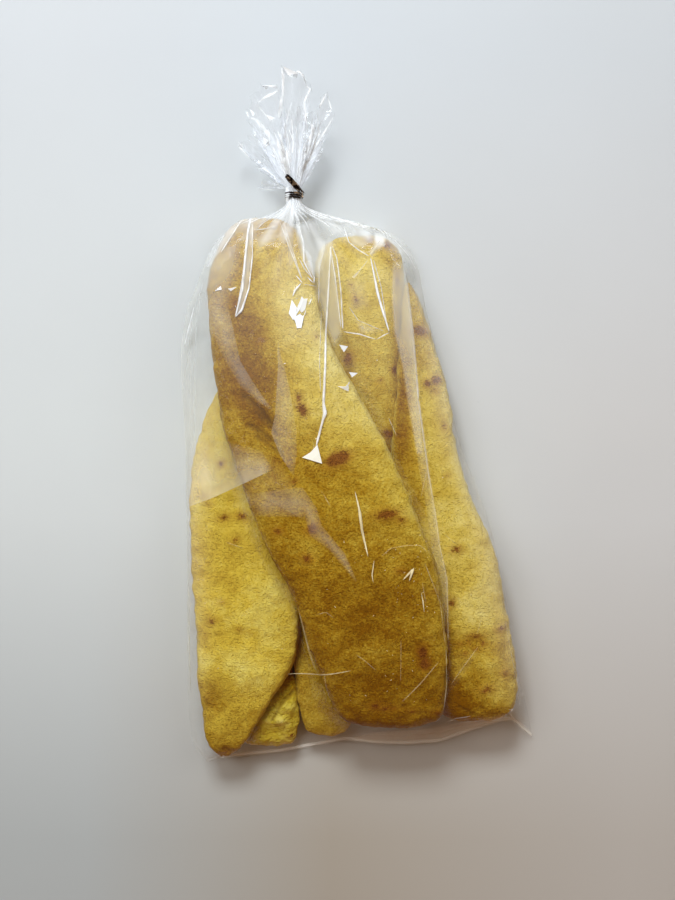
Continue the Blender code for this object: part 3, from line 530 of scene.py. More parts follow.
yellow_crust = dough_material("yellow bread crust", YELLOW_STOPS, CRUST_SCALE, MOTTLING, CRUST_BUMP)
crust = dough_material("bread crust", CRUST_STOPS, CRUST_SCALE, MOTTLING, CRUST_BUMP)
crumb = dough_material("broken crumb", CRUMB_STOPS, CRUMB_SCALE, MOTTLING, CRUMB_BUMP)
COATS = {"bread_left": (yellow_crust, "bread_crust"), "bread_broken_end": (crumb, "bread_crumb")}
slices = []
for slice_name, slice_facts in SLICES.items():
    bread = bread_slice(slice_name, slice_facts)
    worn_by(bread, *COATS.get(slice_name, (crust, "bread_crust")), "bread_bag")
    slices.append(bread)


def surface_under(pieces):
    """A tree of the pieces' faces in the drawing's millimetres, to find what a point lies over."""
    corners, faces = [], []
    for piece in pieces:
        start = len(corners)
        corners += [vert.co / MM - CENTRING for vert in piece.data.vertices]
        faces += [[start + k for k in face.vertices] for face in piece.data.polygons]
    return BVHTree.FromPolygons(corners, faces)


def height_over(tree, x, y, otherwise=0.0):
    """Height of the highest surface at (x, y), seen from well above the bag."""
    hit = tree.ray_cast(Vector((x, y, 60.0)), Vector((0.0, 0.0, -1.0)))[0]
    return hit.z if hit is not None else otherwise


bread_tree = surface_under(slices)

# ---------------------------------------------------------------------------------------
# The bag's body. A tube of clear, glossy film with a gusset down each side, heat sealed
# across the bottom. It is drawn over the slices, so it rests on the high ones and spans
# the gaps, and its top is gathered in radiating pleats into the neck.
LEFT_SIDE = [(-128, -66.8), (-113.4, -68.4), (-89.1, -68.8), (-56.7, -68.8), (-32.3, -69.2),
             (-12.1, -69.4), (12.3, -70.8), (28.5, -71.2), (44.7, -68.8), (52.8, -65.6), (62, -62.2),
             (71.4, -57.2), (78.5, -50.1), (83.3, -41.9), (85.8, -34.6), (87.4, -29.2)]
RIGHT_SIDE = [(-128, 71.2), (-117.9, 69), (-100, 64.4), (-79, 61.6), (-48.5, 55.6), (-28.3, 49.2),
              (-12.1, 42.9), (2.1, 39), (16.3, 35.4), (32.5, 31.4), (46.7, 27.8), (54.8, 26.4),
              (62.8, 24.6), (71.4, 19.4), (78.5, 11.3), (82.1, 1.2), (85.8, -10.8), (87.4, -20.6)]
SEAL_LINE = [(-66.8, -130), (-60.5, -137.7), (-54.7, -135.8), (-30.9, -133.2), (-4.8, -128.2),
             (7.3, -129.7), (20.1, -130.1), (33.9, -129.1), (45.6, -124.9), (57.8, -121),
             (62.8, -120.6), (71.2, -127.6)]
FRONT_FOLD = [(-105.6, 36.1, 21), (-78.1, 33.2, 25), (-58.6, 30.8, 25.5), (-39.1, 28, 26),
              (-15.9, 25.6, 25.5), (7.2, 23.3, 25), (30.4, 21.4, 24.5), (49.7, 19.4, 23),
              (66, 17.5, 18)]
SEAL_Y, SEAL_REACH = -128.0, 38.0
SEAL_Z, SEAL_CORNER_Z = 4.2, 1.6
EDGE_Z, FILM_GAP = 1.3, 0.4
FILM_SAG, SAG_FADE = 0.075, (40.0, 64.0)     # how hard slack film bends down where it spans a gap
NECK = Vector((-24.9, 90.0, 14.0))
NECK_RADIUS = 3.0
SHOULDER_Y, NECK_LOW_Y, NECK_HIGH_Y = 70.0, 87.4, 92.9
FRONT_COLUMNS, BACK_COLUMNS = 380, 84
BODY_ROWS, SHOULDER_ROWS, NECK_ROWS = 200, 36, 8
SETTLING_GRIDS, SETTLING_ROUNDS = (8, 4, 2, 1), 300
PLEAT_SEED, PLEAT_COUNT, PLEAT_REACH = 5, 44, (9.0, 34.0)
RIDGE_SLOPE, RIDGE_FOOT = 0.42, 0.55         # how steep and wide a crease's ridge is
WAVE_HEIGHT, WAVE_WIDTH, WAVE_LENGTH = 0.25, 16.0, 30.0
SIDE_RISE_Y, SIDE_RISE_REACH = 62.0, 24.0    # where the sides leave the table for the neck
# Sharp creases of the front film, with painted highlights along them: (how white, [(x, y, half width),
# ...]).
CREASES = [
    (1.0, [(-10.3, 67.8, 0.25), (-12.2, 33.6, 0.42), (-12.5, 18.4, 0.5), (-13.1, 5.5, 0.62),
           (-12.5, 2, 0.95), (-13.4, -1, 0.5), (-15.9, -10.6, 0.5)]),
    (0.75, [(-10.1, 68.2, 0.2), (-8, 62.6, 0.3), (-6.4, 49.6, 0.35), (-5.7, 34.9, 0.4)]),
    (0.7, [(-10.7, 67.7, 0.2), (-8.7, 55.3, 0.28), (-6.4, 35.3, 0.25)]),
    (0.5, [(-12.3, 68.6, 0.2), (-14.8, 58, 0.25), (-15, 44, 0.2)]),
    (0.35, [(-13.9, 41, 0.2), (-14.6, 22, 0.25), (-14.2, 10, 0.2)]),
    (0.95, [(-41, 82.9, 0.3), (-42.6, 68.6, 0.55), (-44.1, 49.4, 0.5), (-46.8, 38.7, 0.3)]),
    (0.85, [(-40.6, 76, 0.25), (-40.4, 62, 0.3), (-41.6, 49.8, 0.35), (-44.3, 41.4, 0.55),
            (-46.8, 38.6, 0.5)]),
    (0.7, [(-42.2, 68.6, 0.2), (-44.1, 53.3, 0.25), (-46.4, 39.1, 0.2)]),
    (0.8, [(-43.1, 80.3, 0.25), (-47.3, 72.9, 0.4), (-52.8, 63.6, 0.3)]),
    (0.9, [(-51.5, 71.5, 0.3), (-55.6, 66, 0.7), (-60, 61, 0.8)]),
    (0.65, [(-30.1, 76.3, 0.2), (-26.2, 65.4, 0.28), (-21.5, 53.4, 0.25)]),
    (0.6, [(-28.5, 75.5, 0.2), (-24.6, 63.1, 0.25), (-21.1, 52.6, 0.2)]),
    (0.6, [(-22.4, 61.2, 0.2), (-20.4, 57.3, 0.3), (-17.3, 53.8, 0.25)]),
    (0.9, [(-23.8, 54.9, 0.3), (-21.1, 51.7, 0.35)]),
    (0.9, [(-19.5, 54.4, 0.35), (-17, 52, 0.35)]),
    (0.95, [(-16.7, 55.3, 0.3), (-16.8, 51.9, 0.45)]),
    (0.5, [(-21, 51.4, 0.2), (-15.5, 50.9, 0.25)]),
    (0.9, [(-22.8, 75.6, 0.3), (-20.9, 67.8, 0.5), (-20.6, 60, 0.35), (-17.3, 53.8, 0.3)]),
    (1.0, [(-21.6, 51.8, 0.4), (-24, 49, 0.5), (-24.9, 46.4, 0.25)]),
    (0.9, [(-17.5, 46.1, 0.35), (-18.9, 43, 0.2)]),
    (0.8, [(-19.8, 41.2, 0.25), (-20.5, 38.9, 0.3)]),
    (0.6, [(-23.9, 45.8, 0.25), (-22.7, 45.6, 0.3)]),
    (1.0, [(5.2, 63.7, 0.25), (7.9, 49.8, 0.6), (10.4, 41, 0.5), (12.5, 34.3, 0.3)]),
    (0.55, [(6.3, 63, 0.18), (9.4, 51.7, 0.2), (11.7, 36.3, 0.18)]),
    (0.7, [(-5.6, 34, 0.3), (0.9, 33.3, 0.35), (7.5, 31.3, 0.25)]),
    (0.65, [(12.6, 34, 0.3), (10.2, 32.9, 0.3), (7.5, 31.3, 0.25)]),
    (0.4, [(-3.4, 44.1, 0.2), (0.3, 38.8, 0.25), (10.8, 34.4, 0.2)]),
    (0.7, [(-5.6, 76.8, 0.2), (-3.3, 69.5, 0.3), (0.6, 66.4, 0.4), (4.8, 64, 0.35)]),
    (0.6, [(4.6, 64.2, 0.2), (7.2, 67.6, 0.3), (9, 70.8, 0.25)]),
    (0.5, [(-40.8, 73, 0.3), (-37, 73, 0.3), (-30.4, 74.5, 0.25)]),
    (0.75, [(-20.5, 85, 0.25), (-4.8, 81.3, 0.3), (10.1, 76, 0.3), (14.7, 72, 0.3), (21, 65.4, 0.25),
            (24, 60.4, 0.2)]),
    (0.85, [(-19.4, 83.8, 0.3), (-6.8, 80.7, 0.4), (-3, 81, 0.4), (2.1, 77.1, 0.6), (7.6, 77.1, 0.7),
            (11.2, 73.9, 0.4)]),
    (1.0, [(-1.2, -27.6, 0.2), (0.2, -33.5, 0.4), (0.8, -36.7, 0.7), (1.5, -42.4, 0.6),
           (3.8, -52.5, 0.25)]),
    (0.9, [(6.1, -53.8, 0.2), (5.3, -59.5, 0.3), (5.8, -62.5, 0.2)]),
    (0.3, [(8.8, -52.5, 0.2), (12.2, -49.4, 0.2), (17.9, -48.3, 0.2), (23.7, -48.3, 0.2),
           (26.7, -51.3, 0.2)]),
    (1.0, [(17, -61.4, 0.3), (21, -57.2, 0.6), (19.4, -61.9, 0.4)]),
    (0.7, [(24, -66, 0.2), (24.8, -70, 0.3), (25.2, -74, 0.2)]),
    (0.25, [(24.4, -62.3, 0.2), (25.9, -70.6, 0.2)]),
    (0.7, [(-27.6, -99.7, 0.2), (-14.5, -98.6, 0.3), (-2.5, -96.3, 0.2)]),
    (0.3, [(16.4, -84.3, 0.15), (16.4, -100.7, 0.15)]),
    (0.35, [(-0.7, -90, 0.15), (3.5, -93.2, 0.2), (6.9, -96.3, 0.15)]),
    (0.3, [(-16, -74.8, 0.15), (-12.2, -73.7, 0.2), (-9.1, -76, 0.15)]),
    (0.25, [(24.4, -30.4, 0.2), (27.5, -16.7, 0.2)]),
    (0.3, [(11.9, 0.5, 0.2), (15.3, -7.1, 0.15)]),
    (0.3, [(48.4, -77, 0.2), (46.4, -84.1, 0.15)]),
    (0.25, [(33.5, -44.5, 0.2), (39, -49.2, 0.2)]),
    (0.35, [(-22.5, -73.9, 0.3), (-18.5, -90.3, 0.45), (-16.2, -97, 0.5)]),
    (0.2, [(-13.3, -95, 0.2), (-12.3, -102, 0.3), (-10.9, -108.3, 0.2)]),
    (0.3, [(-13.3, -28.5, 0.2), (-10.3, -33.8, 0.2)]),
    (0.3, [(-51.5, -48, 0.2), (-44, -50.5, 0.2)]),
    (0.4, [(-60.5, 57.5, 0.3), (-64, 35.7, 0.3), (-65.2, 7.8, 0.25), (-64.5, -16, 0.2)]),
    (0.3, [(-66, 44, 0.2), (-67.4, 18, 0.25), (-66.5, -12, 0.2)]),
    (0.9, [(-65, 45.5, 0.25), (-68.5, 34.5, 0.6), (-69.6, 30.2, 0.25)]),
    (0.5, [(18.8, 60.9, 0.2), (19.7, 50.4, 0.3), (21.7, 33, 0.4), (23.7, 7.4, 0.5)]),
    (0.42, [(23.7, 7.4, 0.5), (27.4, -20.2, 0.5), (30.3, -37.3, 0.4), (31.8, -49.7, 0.35),
            (34.6, -62.1, 0.3), (34.7, -85.8, 0.2)]),
    (0.6, [(59.8, -115.4, 0.3), (63.5, -120.6, 0.35), (69.4, -124.6, 0.25)]),
    (0.5, [(35, -119.8, 0.25), (38.8, -117.4, 0.35), (44.7, -116.2, 0.2)]),
    (0.4, [(57.9, -80, 0.2), (61, -96, 0.25), (65, -114, 0.2)]),
    (0.35, [(-67.5, -60, 0.2), (-67.6, -88, 0.25), (-66.9, -110, 0.2)]),
    (0.7, [(-66.3, -72.8, 0.35), (-66.6, -75.4, 0.25)]),
    (0.3, [(25.4, -55, 0.2), (31.4, -70, 0.25), (33.4, -86, 0.2)]),
    (0.45, [(33.8, -88, 0.25), (34.4, -102, 0.35), (33.4, -113, 0.2)]),
    (0.35, [(17, -109, 0.2), (24, -101.5, 0.35), (31, -93, 0.2)]),
    (0.3, [(36, -103, 0.2), (41, -96.5, 0.3), (47, -88.5, 0.2)]),
]
# Small flat facets of film, painted white as highlights: (how white, corners).
FACETS = [
    (1.0, [(-21.2, -14.9), (-18, -12.9), (-15.4, -10), (-13.6, -17.2)]),
    (1.0, [(-26.3, 39.9), (-25.2, 45.2), (-23.3, 42.2), (-23.6, 38.2), (-24.7, 37.4)]),
    (0.85, [(-23.6, 39), (-23.2, 42.1), (-21.4, 46.7), (-20.6, 45.6), (-22.2, 41.4)]),
    (0.7, [(-22.2, 41.2), (-20.7, 45.6), (-19.2, 45.9), (-20.1, 41.5), (-21.4, 40.2)]),
    (1.0, [(-23.9, 37), (-23.4, 38.4), (-20.5, 39.2), (-21.5, 34.4), (-23.2, 34.3)]),
    (0.95, [(-24.8, 38.2), (-22, 39.8), (-21, 38.8), (-23.6, 36.6)]),
    (0.5, [(-20.9, 66.2), (-17.8, 62.4), (-17.1, 54.4)]),
    (0.35, [(-20.2, 59.8), (-17.6, 61), (-17.8, 55.4)]),
    (0.95, [(-54.7, 48.8), (-52.4, 50.7), (-52, 49.2)]),
    (0.7, [(-49.7, 49.6), (-46.2, 50.3), (-48.5, 48.6)]),
    (0.95, [(-7.2, 28.6), (-3.7, 28.2), (-5.3, 25.7)]),
    (0.95, [(-3.4, 17.9), (0.1, 17.7), (-2.2, 15.9)]),
    (0.6, [(-7.9, 12.2), (-3.9, 12), (-3.2, 14.2), (-3.6, 10.2)]),
    (0.8, [(59.2, -113.6), (61.2, -115.6), (61.6, -114)]),
    (0.3, [(2.9, 60.6), (4.4, 63), (-1, 55.2), (-2.2, 55.6)]),
    (0.6, [(-60.8, 61.7), (-57, 63.2), (-58.2, 59.7)]),
]
# Where film lies double or is crushed and looks milky, and patches of painted sheen where the light
# shines on the film: (haze, soft edge, corners).
HAZES = [
    (0.34, 4.0, [(-47, 82), (-46, 68), (-39, 65), (-31, 65), (-24.5, 70), (-20, 86.6), (-33.9, 88.4)]),
    (0.14, 4.5, [(-63, 68), (-50, 84), (-41, 82), (-44, 58), (-49, 42), (-53, 30), (-62, 30),
                 (-62, 50)]),
    (0.28, 2.2, [(-16.5, 71), (-9.6, 71), (-7.4, 57.6), (-6, 46.6), (-5.4, 33), (-9, 26), (-12.5, 34),
                 (-16.5, 48)]),
    (0.12, 2.0, [(-13, 77), (18, 72), (18, 66), (10, 70.5), (2, 66.5), (-4, 69), (-14, 66)]),
    (0.28, 0.8, [(-41.2, 80.6), (-40.1, 72.9), (-40.4, 62), (-41.6, 49.8), (-44.3, 41.4), (-47, 38.4),
                 (-45.2, 49.8), (-43.8, 60.6), (-41.8, 72.9)]),
    (0.25, 0.8, [(-44.8, 81.3), (-42.7, 80.1), (-49.7, 68), (-56.7, 59.2), (-60.8, 61.7),
                 (-52.2, 71.9)]),
    (0.08, 8.0, [(-42, 68), (-18, 68), (-9, 24), (-31, 24)]),
    # Painted sheen along the bag's right fold.
    (0.18, 0.9, [(13.6, 62), (13.2, 48.7), (14, 34.3), (17.2, 21), (19.4, 5), (22.6, -14), (25.6, -14),
                 (24.5, 5), (22.5, 29.7), (20.5, 48.7), (19.8, 62)]),
    (0.12, 3.0, [(-31, 74), (-22, 74), (-20, 60), (-27, 56)]),
    (0.1, 3.0, [(-5, 56), (3, 54), (6, 44), (-4, 40)]),
    (0.12, 5.0, [(-67, 12), (-55, 20), (-50, -14), (-52, -28), (-66, -28)]),
    # Painted sheen along the bottom, above the seal.
    (0.24, 2.0, [(-10, -131), (4, -124), (16, -121.6), (34, -121), (46, -118), (58, -115), (62, -121),
                 (45.6, -126), (33.9, -130), (7.3, -131)]),
    (0.42, 2.5, [(-26, 76), (-23.5, 66), (-19.5, 56), (-16.6, 52), (-13, 58), (-11, 68), (-16, 80)]),
    (0.26, 2.2, [(-4.4, 76.4), (6.3, 75.6), (6.6, 69.6), (2.5, 66.5), (-2.7, 68)]),
    (0.4, 1.1, [(6.6, 75.2), (12.2, 73.9), (10.8, 68.6), (5.6, 63.4), (4, 66), (6.4, 69.7)]),
    (0.18, 1.2, [(-3.4, 44.1), (0.3, 38.8), (10.8, 34.4), (1.2, 33.4)]),
    (0.2, 2.0, [(-20, 84), (-5, 80), (9, 76), (16, 70), (10, 71), (-3, 75.5), (-10, 70)]),
]
# The haze below is partly the milk of film lying in layers and partly painted glare of the light on the
# film: round the neck, over the top of the bag and along its sides.
NECK_HAZE_AND_GLARE = ((0.4, 6.0), (0.12, 18.0))       # milkiness of the gathered film: (haze, reach)
LEAST_HAZE, UPPER_PAINTED_GLARE = 0.002, 0.11
SIDE_PAINTED_GLARE, SIDE_PAINTED_GLARE_REACH = 0.22, 8.0
SEAM_HAZE, SEAM_HAZE_REACH = 0.1, 6.0
MOST_HAZE, MOST_MILK, BACK_HAZE = 0.85, 0.9, 0.003
PLEAT_WHITER, PLEAT_CLEARER, PLEAT_MILK_REACH = 1.3, 0.35, 22.0
STREAK_SHARE, STREAK_SPREAD, STREAK_LENGTH, STREAK_Y, STREAK_FADE = 0.8, 9.0, 30.0, 50.0, 15.0


def places_across(columns):
    """Places across the bag, 0 at the left side and 1 at the right, closer near both."""
    even = [i / columns for i in range(columns + 1)]
    return np.array([s - 0.045 * math.sin(2.0 * math.pi * s) for s in even])


def smooth(t):
    """0 up to 0, 1 from 1 on, and an easy rise between them."""
    t = min(max(t, 0.0), 1.0)
    return t * t * (3.0 - 2.0 * t)


def gathered(y):
    """How far the film is drawn in to the neck: 0 in the body, 1 at the tie."""
    return smooth((y - SHOULDER_Y) / (NECK_LOW_Y - SHOULDER_Y)) ** 1.5


def edge_rise(us):
    """0 at both sides of the bag, with a steep rise to 1 in the middle."""
    return np.sin(math.pi * us) ** 0.5


def seal_height(rise):
    """Height of the sealed bottom edge, lower at its corners."""
    return SEAL_CORNER_Z + (SEAL_Z - SEAL_CORNER_Z) * rise


def plan_row(us, y_nominal):
    """(x, y) on the table of the points at shares us across the ring at y_nominal."""
    left, = through(LEFT_SIDE, y_nominal)
    right, = through(RIGHT_SIDE, y_nominal)
    x = left + us * (right - left)
    seal_shift = np.interp(x, *zip(*SEAL_LINE)) - SEAL_Y
    fade = 1.0 - smooth((y_nominal - SEAL_Y) / SEAL_REACH)
    return np.stack([x, y_nominal + seal_shift * fade], axis=1)


def body_ys():
    """Nominal y of each ring, from the seal to the neck."""
    body = [SEAL_Y + (SHOULDER_Y - SEAL_Y) * (k / BODY_ROWS) ** 1.1 for k in range(BODY_ROWS)]
    rise = NECK_LOW_Y - SHOULDER_Y
    steps = [k / SHOULDER_ROWS for k in range(SHOULDER_ROWS + 1)]
    return np.array(body + [SHOULDER_Y + rise * (1.0 - (1.0 - s) ** 1.4) for s in steps])


def stretched(plan, support, height, sag, rounds):
    """The film's heights once it has settled: every free point lies a little below its
    neighbours' middle, and none lies below what it rests on."""
    step_x = np.hypot(*np.moveaxis(np.diff(plan, axis=1), 2, 0))
    step_y = np.hypot(*np.moveaxis(np.diff(plan, axis=0), 2, 0))
    pull = [1.0 / step_x[1:-1, :-1] ** 2, 1.0 / step_x[1:-1, 1:] ** 2,
            1.0 / step_y[:-1, 1:-1] ** 2, 1.0 / step_y[1:, 1:-1] ** 2]
    total = sum(pull)
    for _ in range(rounds):
        taut = (pull[0] * height[1:-1, :-2] + pull[1] * height[1:-1, 2:]
                + pull[2] * height[:-2, 1:-1] + pull[3] * height[2:, 1:-1] - sag) / total
        height[1:-1, 1:-1] = np.maximum(taut, support[1:-1, 1:-1])
    return height


def resized(grid, rows, columns):
    """A grid of heights read at more or fewer rows and columns."""
    across = np.linspace(0, grid.shape[1] - 1, columns)
    along = np.linspace(0, grid.shape[0] - 1, rows)
    wide = np.array([np.interp(across, range(grid.shape[1]), row) for row in grid])
    return np.array([np.interp(along, range(grid.shape[0]), line) for line in wide.T]).T


def film_over_bread(ys, us, side):
    """Heights of the front film, found on a coarse grid and then on finer ones."""
    plan = np.array([plan_row(us, y) for y in ys])
    support = np.zeros(plan.shape[:2])
    for k, row in enumerate(plan):
        for i, (x, y) in enumerate(row):
            under = height_over(bread_tree, x, y)
            support[k, i] = under + FILM_GAP if under > 0.0 else 0.0
        if FRONT_FOLD[0][0] < ys[k] < FRONT_FOLD[-1][0]:
            fold_x, fold_z = through(FRONT_FOLD, ys[k])
            near = int(np.argmin(np.abs(row[:, 0] - fold_x)))
            support[k, near] = max(support[k, near], fold_z)
    sag = np.array([FILM_SAG * (1.0 - smooth((y - SAG_FADE[0]) / (SAG_FADE[1] - SAG_FADE[0])))
                    for y in ys])
    edge = edge_rise(us)
    height = None
    for coarse in SETTLING_GRIDS:
        rows, columns = (len(ys) - 1) // coarse + 1, (len(us) - 1) // coarse + 1
        plan_now = np.stack([resized(plan[:, :, axis], rows, columns) for axis in (0, 1)], axis=2)
        support_now = resized(support, rows, columns)
        place = np.linspace(0, len(ys) - 1, rows)
        side_now, sag_now = (np.interp(place, range(len(ys)), line) for line in (side, sag))
        edge_now = np.interp(np.linspace(0, len(us) - 1, columns), range(len(us)), edge)
        start = support_now if height is None else resized(height, rows, columns)
        height = np.maximum(start, np.maximum(support_now, side_now[:, None]))
        height[:, 0] = height[:, -1] = side_now
        height[0] = seal_height(edge_now)
        height[-1] = NECK.z + NECK_RADIUS * edge_now
        height = stretched(plan_now, support_now, height, sag_now[1:-1, None], SETTLING_ROUNDS)
    return height


def pleats():
    """Folds round the neck: (place round it, half width, height, how far down they reach)."""
    rng = np.random.default_rng(PLEAT_SEED)
    places = (np.arange(PLEAT_COUNT) + rng.uniform(-0.35, 0.35, PLEAT_COUNT)) / PLEAT_COUNT
    return [(place, rng.uniform(0.006, 0.014), rng.uniform(0.4, 1.0), rng.uniform(*PLEAT_REACH))
            for place in places]


neck_pleats = pleats()


def pleat_lift(turns, distances):
    """Lift of the film at places round the neck (0 to 1), some way down from the neck."""
    lift = np.zeros(len(turns))
    for place, half_width, height, reach in neck_pleats:
        gap = np.abs((turns - place + 0.5) % 1.0 - 0.5)
        share = np.clip(1.0 - distances / reach, 0.0, 1.0)
        width = half_width * (0.6 + 0.4 * share)
        lift += height * np.clip(1.0 - gap / width, 0.0, 1.0) * share**0.8
    return lift


def from_edge(points_xy, start, end):
    """For each point, how far along a straight edge it lies (0 to 1), and its distance from it."""
    way = end - start
    offset = points_xy - start
    along = np.clip(offset @ way / (way @ way), 0.0, 1.0)
    return along, np.hypot(*(offset - along[:, None] * way).T)


def ridge_lift(points_xy):
    """How far the film stands up along its creases."""
    lift = np.zeros(len(points_xy))
    for _, line in CREASES:
        line = np.array(line)
        for start, end in zip(line, line[1:]):
            along, gap = from_edge(points_xy, start[:2], end[:2])
            half = RIDGE_FOOT + 0.9 * (start[2] + (end[2] - start[2]) * along)
            lift = np.maximum(lift, RIDGE_SLOPE * half * np.clip(1.0 - gap / half, 0.0, 1.0))
    return lift


def patch_share(points_xy, corners, soft):
    """1 well inside a polygon, 0 outside it, with a soft edge on its inner side."""
    corners = np.array(corners)
    inside = np.zeros(len(points_xy), bool)
    gap = np.full(len(points_xy), 1e3)
    for a, b in zip(corners, np.roll(corners, -1, axis=0)):
        gap = np.minimum(gap, from_edge(points_xy, a, b)[1])
        crosses = (a[1] > points_xy[:, 1]) != (b[1] > points_xy[:, 1])
        level = (points_xy[:, 1] - a[1]) / ((b - a)[1] or 1e-9)
        inside ^= crosses & (points_xy[:, 0] < a[0] + level * (b - a)[0])
    return inside * np.clip(gap / soft, 0.0, 1.0)


def haze_at(points_xy):
    """How milky the front film is at each point: where layers lie together, and painted glare of the
    light near its top, sides and neck.
    """
    from_neck = np.hypot(points_xy[:, 0] - NECK.x, points_xy[:, 1] - NECK_LOW_Y)
    rise = np.clip((points_xy[:, 1] + 30.0) / 90.0, 0.0, 1.0)
    haze = LEAST_HAZE + UPPER_PAINTED_GLARE * rise**2 * (3.0 - 2.0 * rise)
    haze += sum(amount * np.exp(-(from_neck / reach) ** 2) for amount, reach in NECK_HAZE_AND_GLARE)
    for amount, soft, corners in HAZES:
        haze += amount * patch_share(points_xy, corners, soft)
    above_seal = points_xy[:, 1] - np.interp(points_xy[:, 0], *zip(*SEAL_LINE))
    haze += SEAM_HAZE * np.clip(1.0 - above_seal / SEAM_HAZE_REACH, 0.0, 1.0)
    sides = [np.interp(points_xy[:, 1], *zip(*side)) for side in (LEFT_SIDE, RIGHT_SIDE)]
    from_side = np.minimum(points_xy[:, 0] - sides[0], sides[1] - points_xy[:, 0])
    above_corners = np.clip((points_xy[:, 1] + 125.0) / 40.0, 0.0, 1.0)
    haze += SIDE_PAINTED_GLARE * np.exp(-(from_side / SIDE_PAINTED_GLARE_REACH) ** 2) * above_corners
    return np.minimum(haze, MOST_HAZE)


def milk_at(points, pleat):
    """How milky the front film is over its grid: its haze, whiter along its pleats and streaked, with
    painted glare of the light on the pleated film.
    """
    flat = points[:, :, :2].reshape(-1, 2)
    from_neck = flat - np.array([NECK.x, NECK_LOW_Y])
    near_neck = np.exp(-(np.hypot(*from_neck.T) / PLEAT_MILK_REACH) ** 2).reshape(pleat.shape)
    milk = haze_at(flat).reshape(pleat.shape)
    milk *= 1.0 + near_neck * (PLEAT_WHITER * np.minimum(pleat, 1.0) - PLEAT_CLEARER)
    places = [(STREAK_SPREAD * math.atan2(x, 2.0 - y), math.hypot(x, y) / STREAK_LENGTH, 7.0)
              for x, y in from_neck]
    streaks = np.array([noise.noise(Vector(place)) for place in places]).reshape(pleat.shape)
    milk *= 1.0 + STREAK_SHARE * streaks * np.clip((points[:, :, 1] - STREAK_Y) / STREAK_FADE, 0.0, 1.0)
    return np.minimum(milk, MOST_MILK)


def fold_and_wave(points, us, rows):
    """Lifts some rows of the front film along its creases and in slack waves."""
    flat = points[:, :, :2].reshape(-1, 2)
    waves = np.array([max(0.0, noise.noise(Vector((x / WAVE_WIDTH, y / WAVE_LENGTH, 4.0))))
                      for x, y in flat])
    lift = (ridge_lift(flat) + WAVE_HEIGHT * waves).reshape(points.shape[:2]) * edge_rise(us)
    points[:rows, :, 2] += lift[:rows]


def panel_points(ys, us, angles, side, height=None):
    """Points of the front or back panel, row by row, from the seal to the top of the neck."""
    edge = edge_rise(us)
    turns = (math.pi - angles) / (2.0 * math.pi)
    rows, pleat_rows = [], []
    for k in range(len(ys) + NECK_ROWS - 1):
        if k < len(ys):
            y = ys[k]
            plan = plan_row(us, y)
            gather = gathered(y)
            distance = np.hypot(plan[:, 0] - NECK.x, (plan[:, 1] - NECK_LOW_Y) * 1.3)
            if height is not None:
                z = height[k]
            else:
                under = EDGE_Z - 0.15 + (side[k] - EDGE_Z) * 0.35
                z = side[k] - under * np.minimum(1.0, 6.0 * np.minimum(us, 1.0 - us))
                sealed = 1.0 - smooth((y - ys[0]) / 9.0)
                z += (seal_height(edge) - 0.12 - z) * sealed
        else:
            y = NECK_LOW_Y + (NECK_HIGH_Y - NECK_LOW_Y) * (k - len(ys) + 1) / (NECK_ROWS - 1)
            gather, distance, z = 1.0, us * 0.0, us * 0.0
            plan = np.stack([us * 0.0, us * 0.0 + y], axis=1)
        pleat = pleat_lift(turns, distance)
        pleat_rows.append(pleat)
        radius = NECK_RADIUS - 0.3 + 0.3 * np.minimum(pleat, 1.2)
        neck_x = NECK.x + radius * np.cos(angles)
        neck_z = NECK.z + radius * np.sin(angles)
        z = z + pleat * (1.0 if height is not None else -0.35) * edge * (1.0 - gather)
        rows.append(np.stack([plan[:, 0] + (neck_x - plan[:, 0]) * gather, plan[:, 1],
                              z + (neck_z - z) * gather], axis=1))
    return np.array(rows), np.array(pleat_rows)


def face_one_way(bm, up=True):
    """Turns all faces of an open piece up, or down."""
    bmesh.ops.recalc_face_normals(bm, faces=bm.faces)
    if (sum(face.normal.z for face in bm.faces) > 0.0) != up:
        bmesh.ops.reverse_faces(bm, faces=bm.faces)


def film_panel(name, points, facing_up, haze):
    """A panel of film through a grid of points."""
    rows, columns = points.shape[0] - 1, points.shape[1] - 1
    bm = bmesh.new()
    bmesh.ops.create_grid(bm, x_segments=columns, y_segments=rows, size=1.0)
    milky = bm.verts.layers.float.new("haze")
    for vert in bm.verts:
        i, k = grid_place(vert, columns, rows)
        vert.co = points[k, i]
        vert[milky] = haze[k, i]
    face_one_way(bm, facing_up)
    return finished_mesh(name, bm)


def crinkle_group():
    """The fine crinkle of thin film: the height of its waves."""
    tree, given, out = effect_group("film crinkle", [("Vector", "NodeSocketVector"),
                                                     ("Scale", "NodeSocketFloat"),
                                                     ("Amount", "NodeSocketFloat")], ("Height",))
    waves = noise_of(tree, given["Vector"], given["Scale"], 2.0, 0.5)
    tree.links.new(sums(tree, "MULTIPLY", waves, given["Amount"]), out.inputs["Height"])
    return tree


film_crinkle = crinkle_group()
FILM_TINT, MIRROR_TINT = (0.992, 0.995, 0.997, 1.0), (0.94, 0.96, 1.0, 1.0)
MILK_MIDDLE, MILK_TOP = (0.9, 0.91, 0.86, 1.0), (0.94, 0.96, 1.0, 1.0)


def crinkled_normal(tree, scale, amount):
    """The normal of crinkled film."""
    crinkle = node(tree, "ShaderNodeGroup", {"Vector": object_place(tree), "Scale": scale,
                                             "Amount": amount}, node_tree=film_crinkle)
    return node(tree, "ShaderNodeBump", {"Height": crinkle.outputs["Height"], "Distance": MM}).outputs[0]


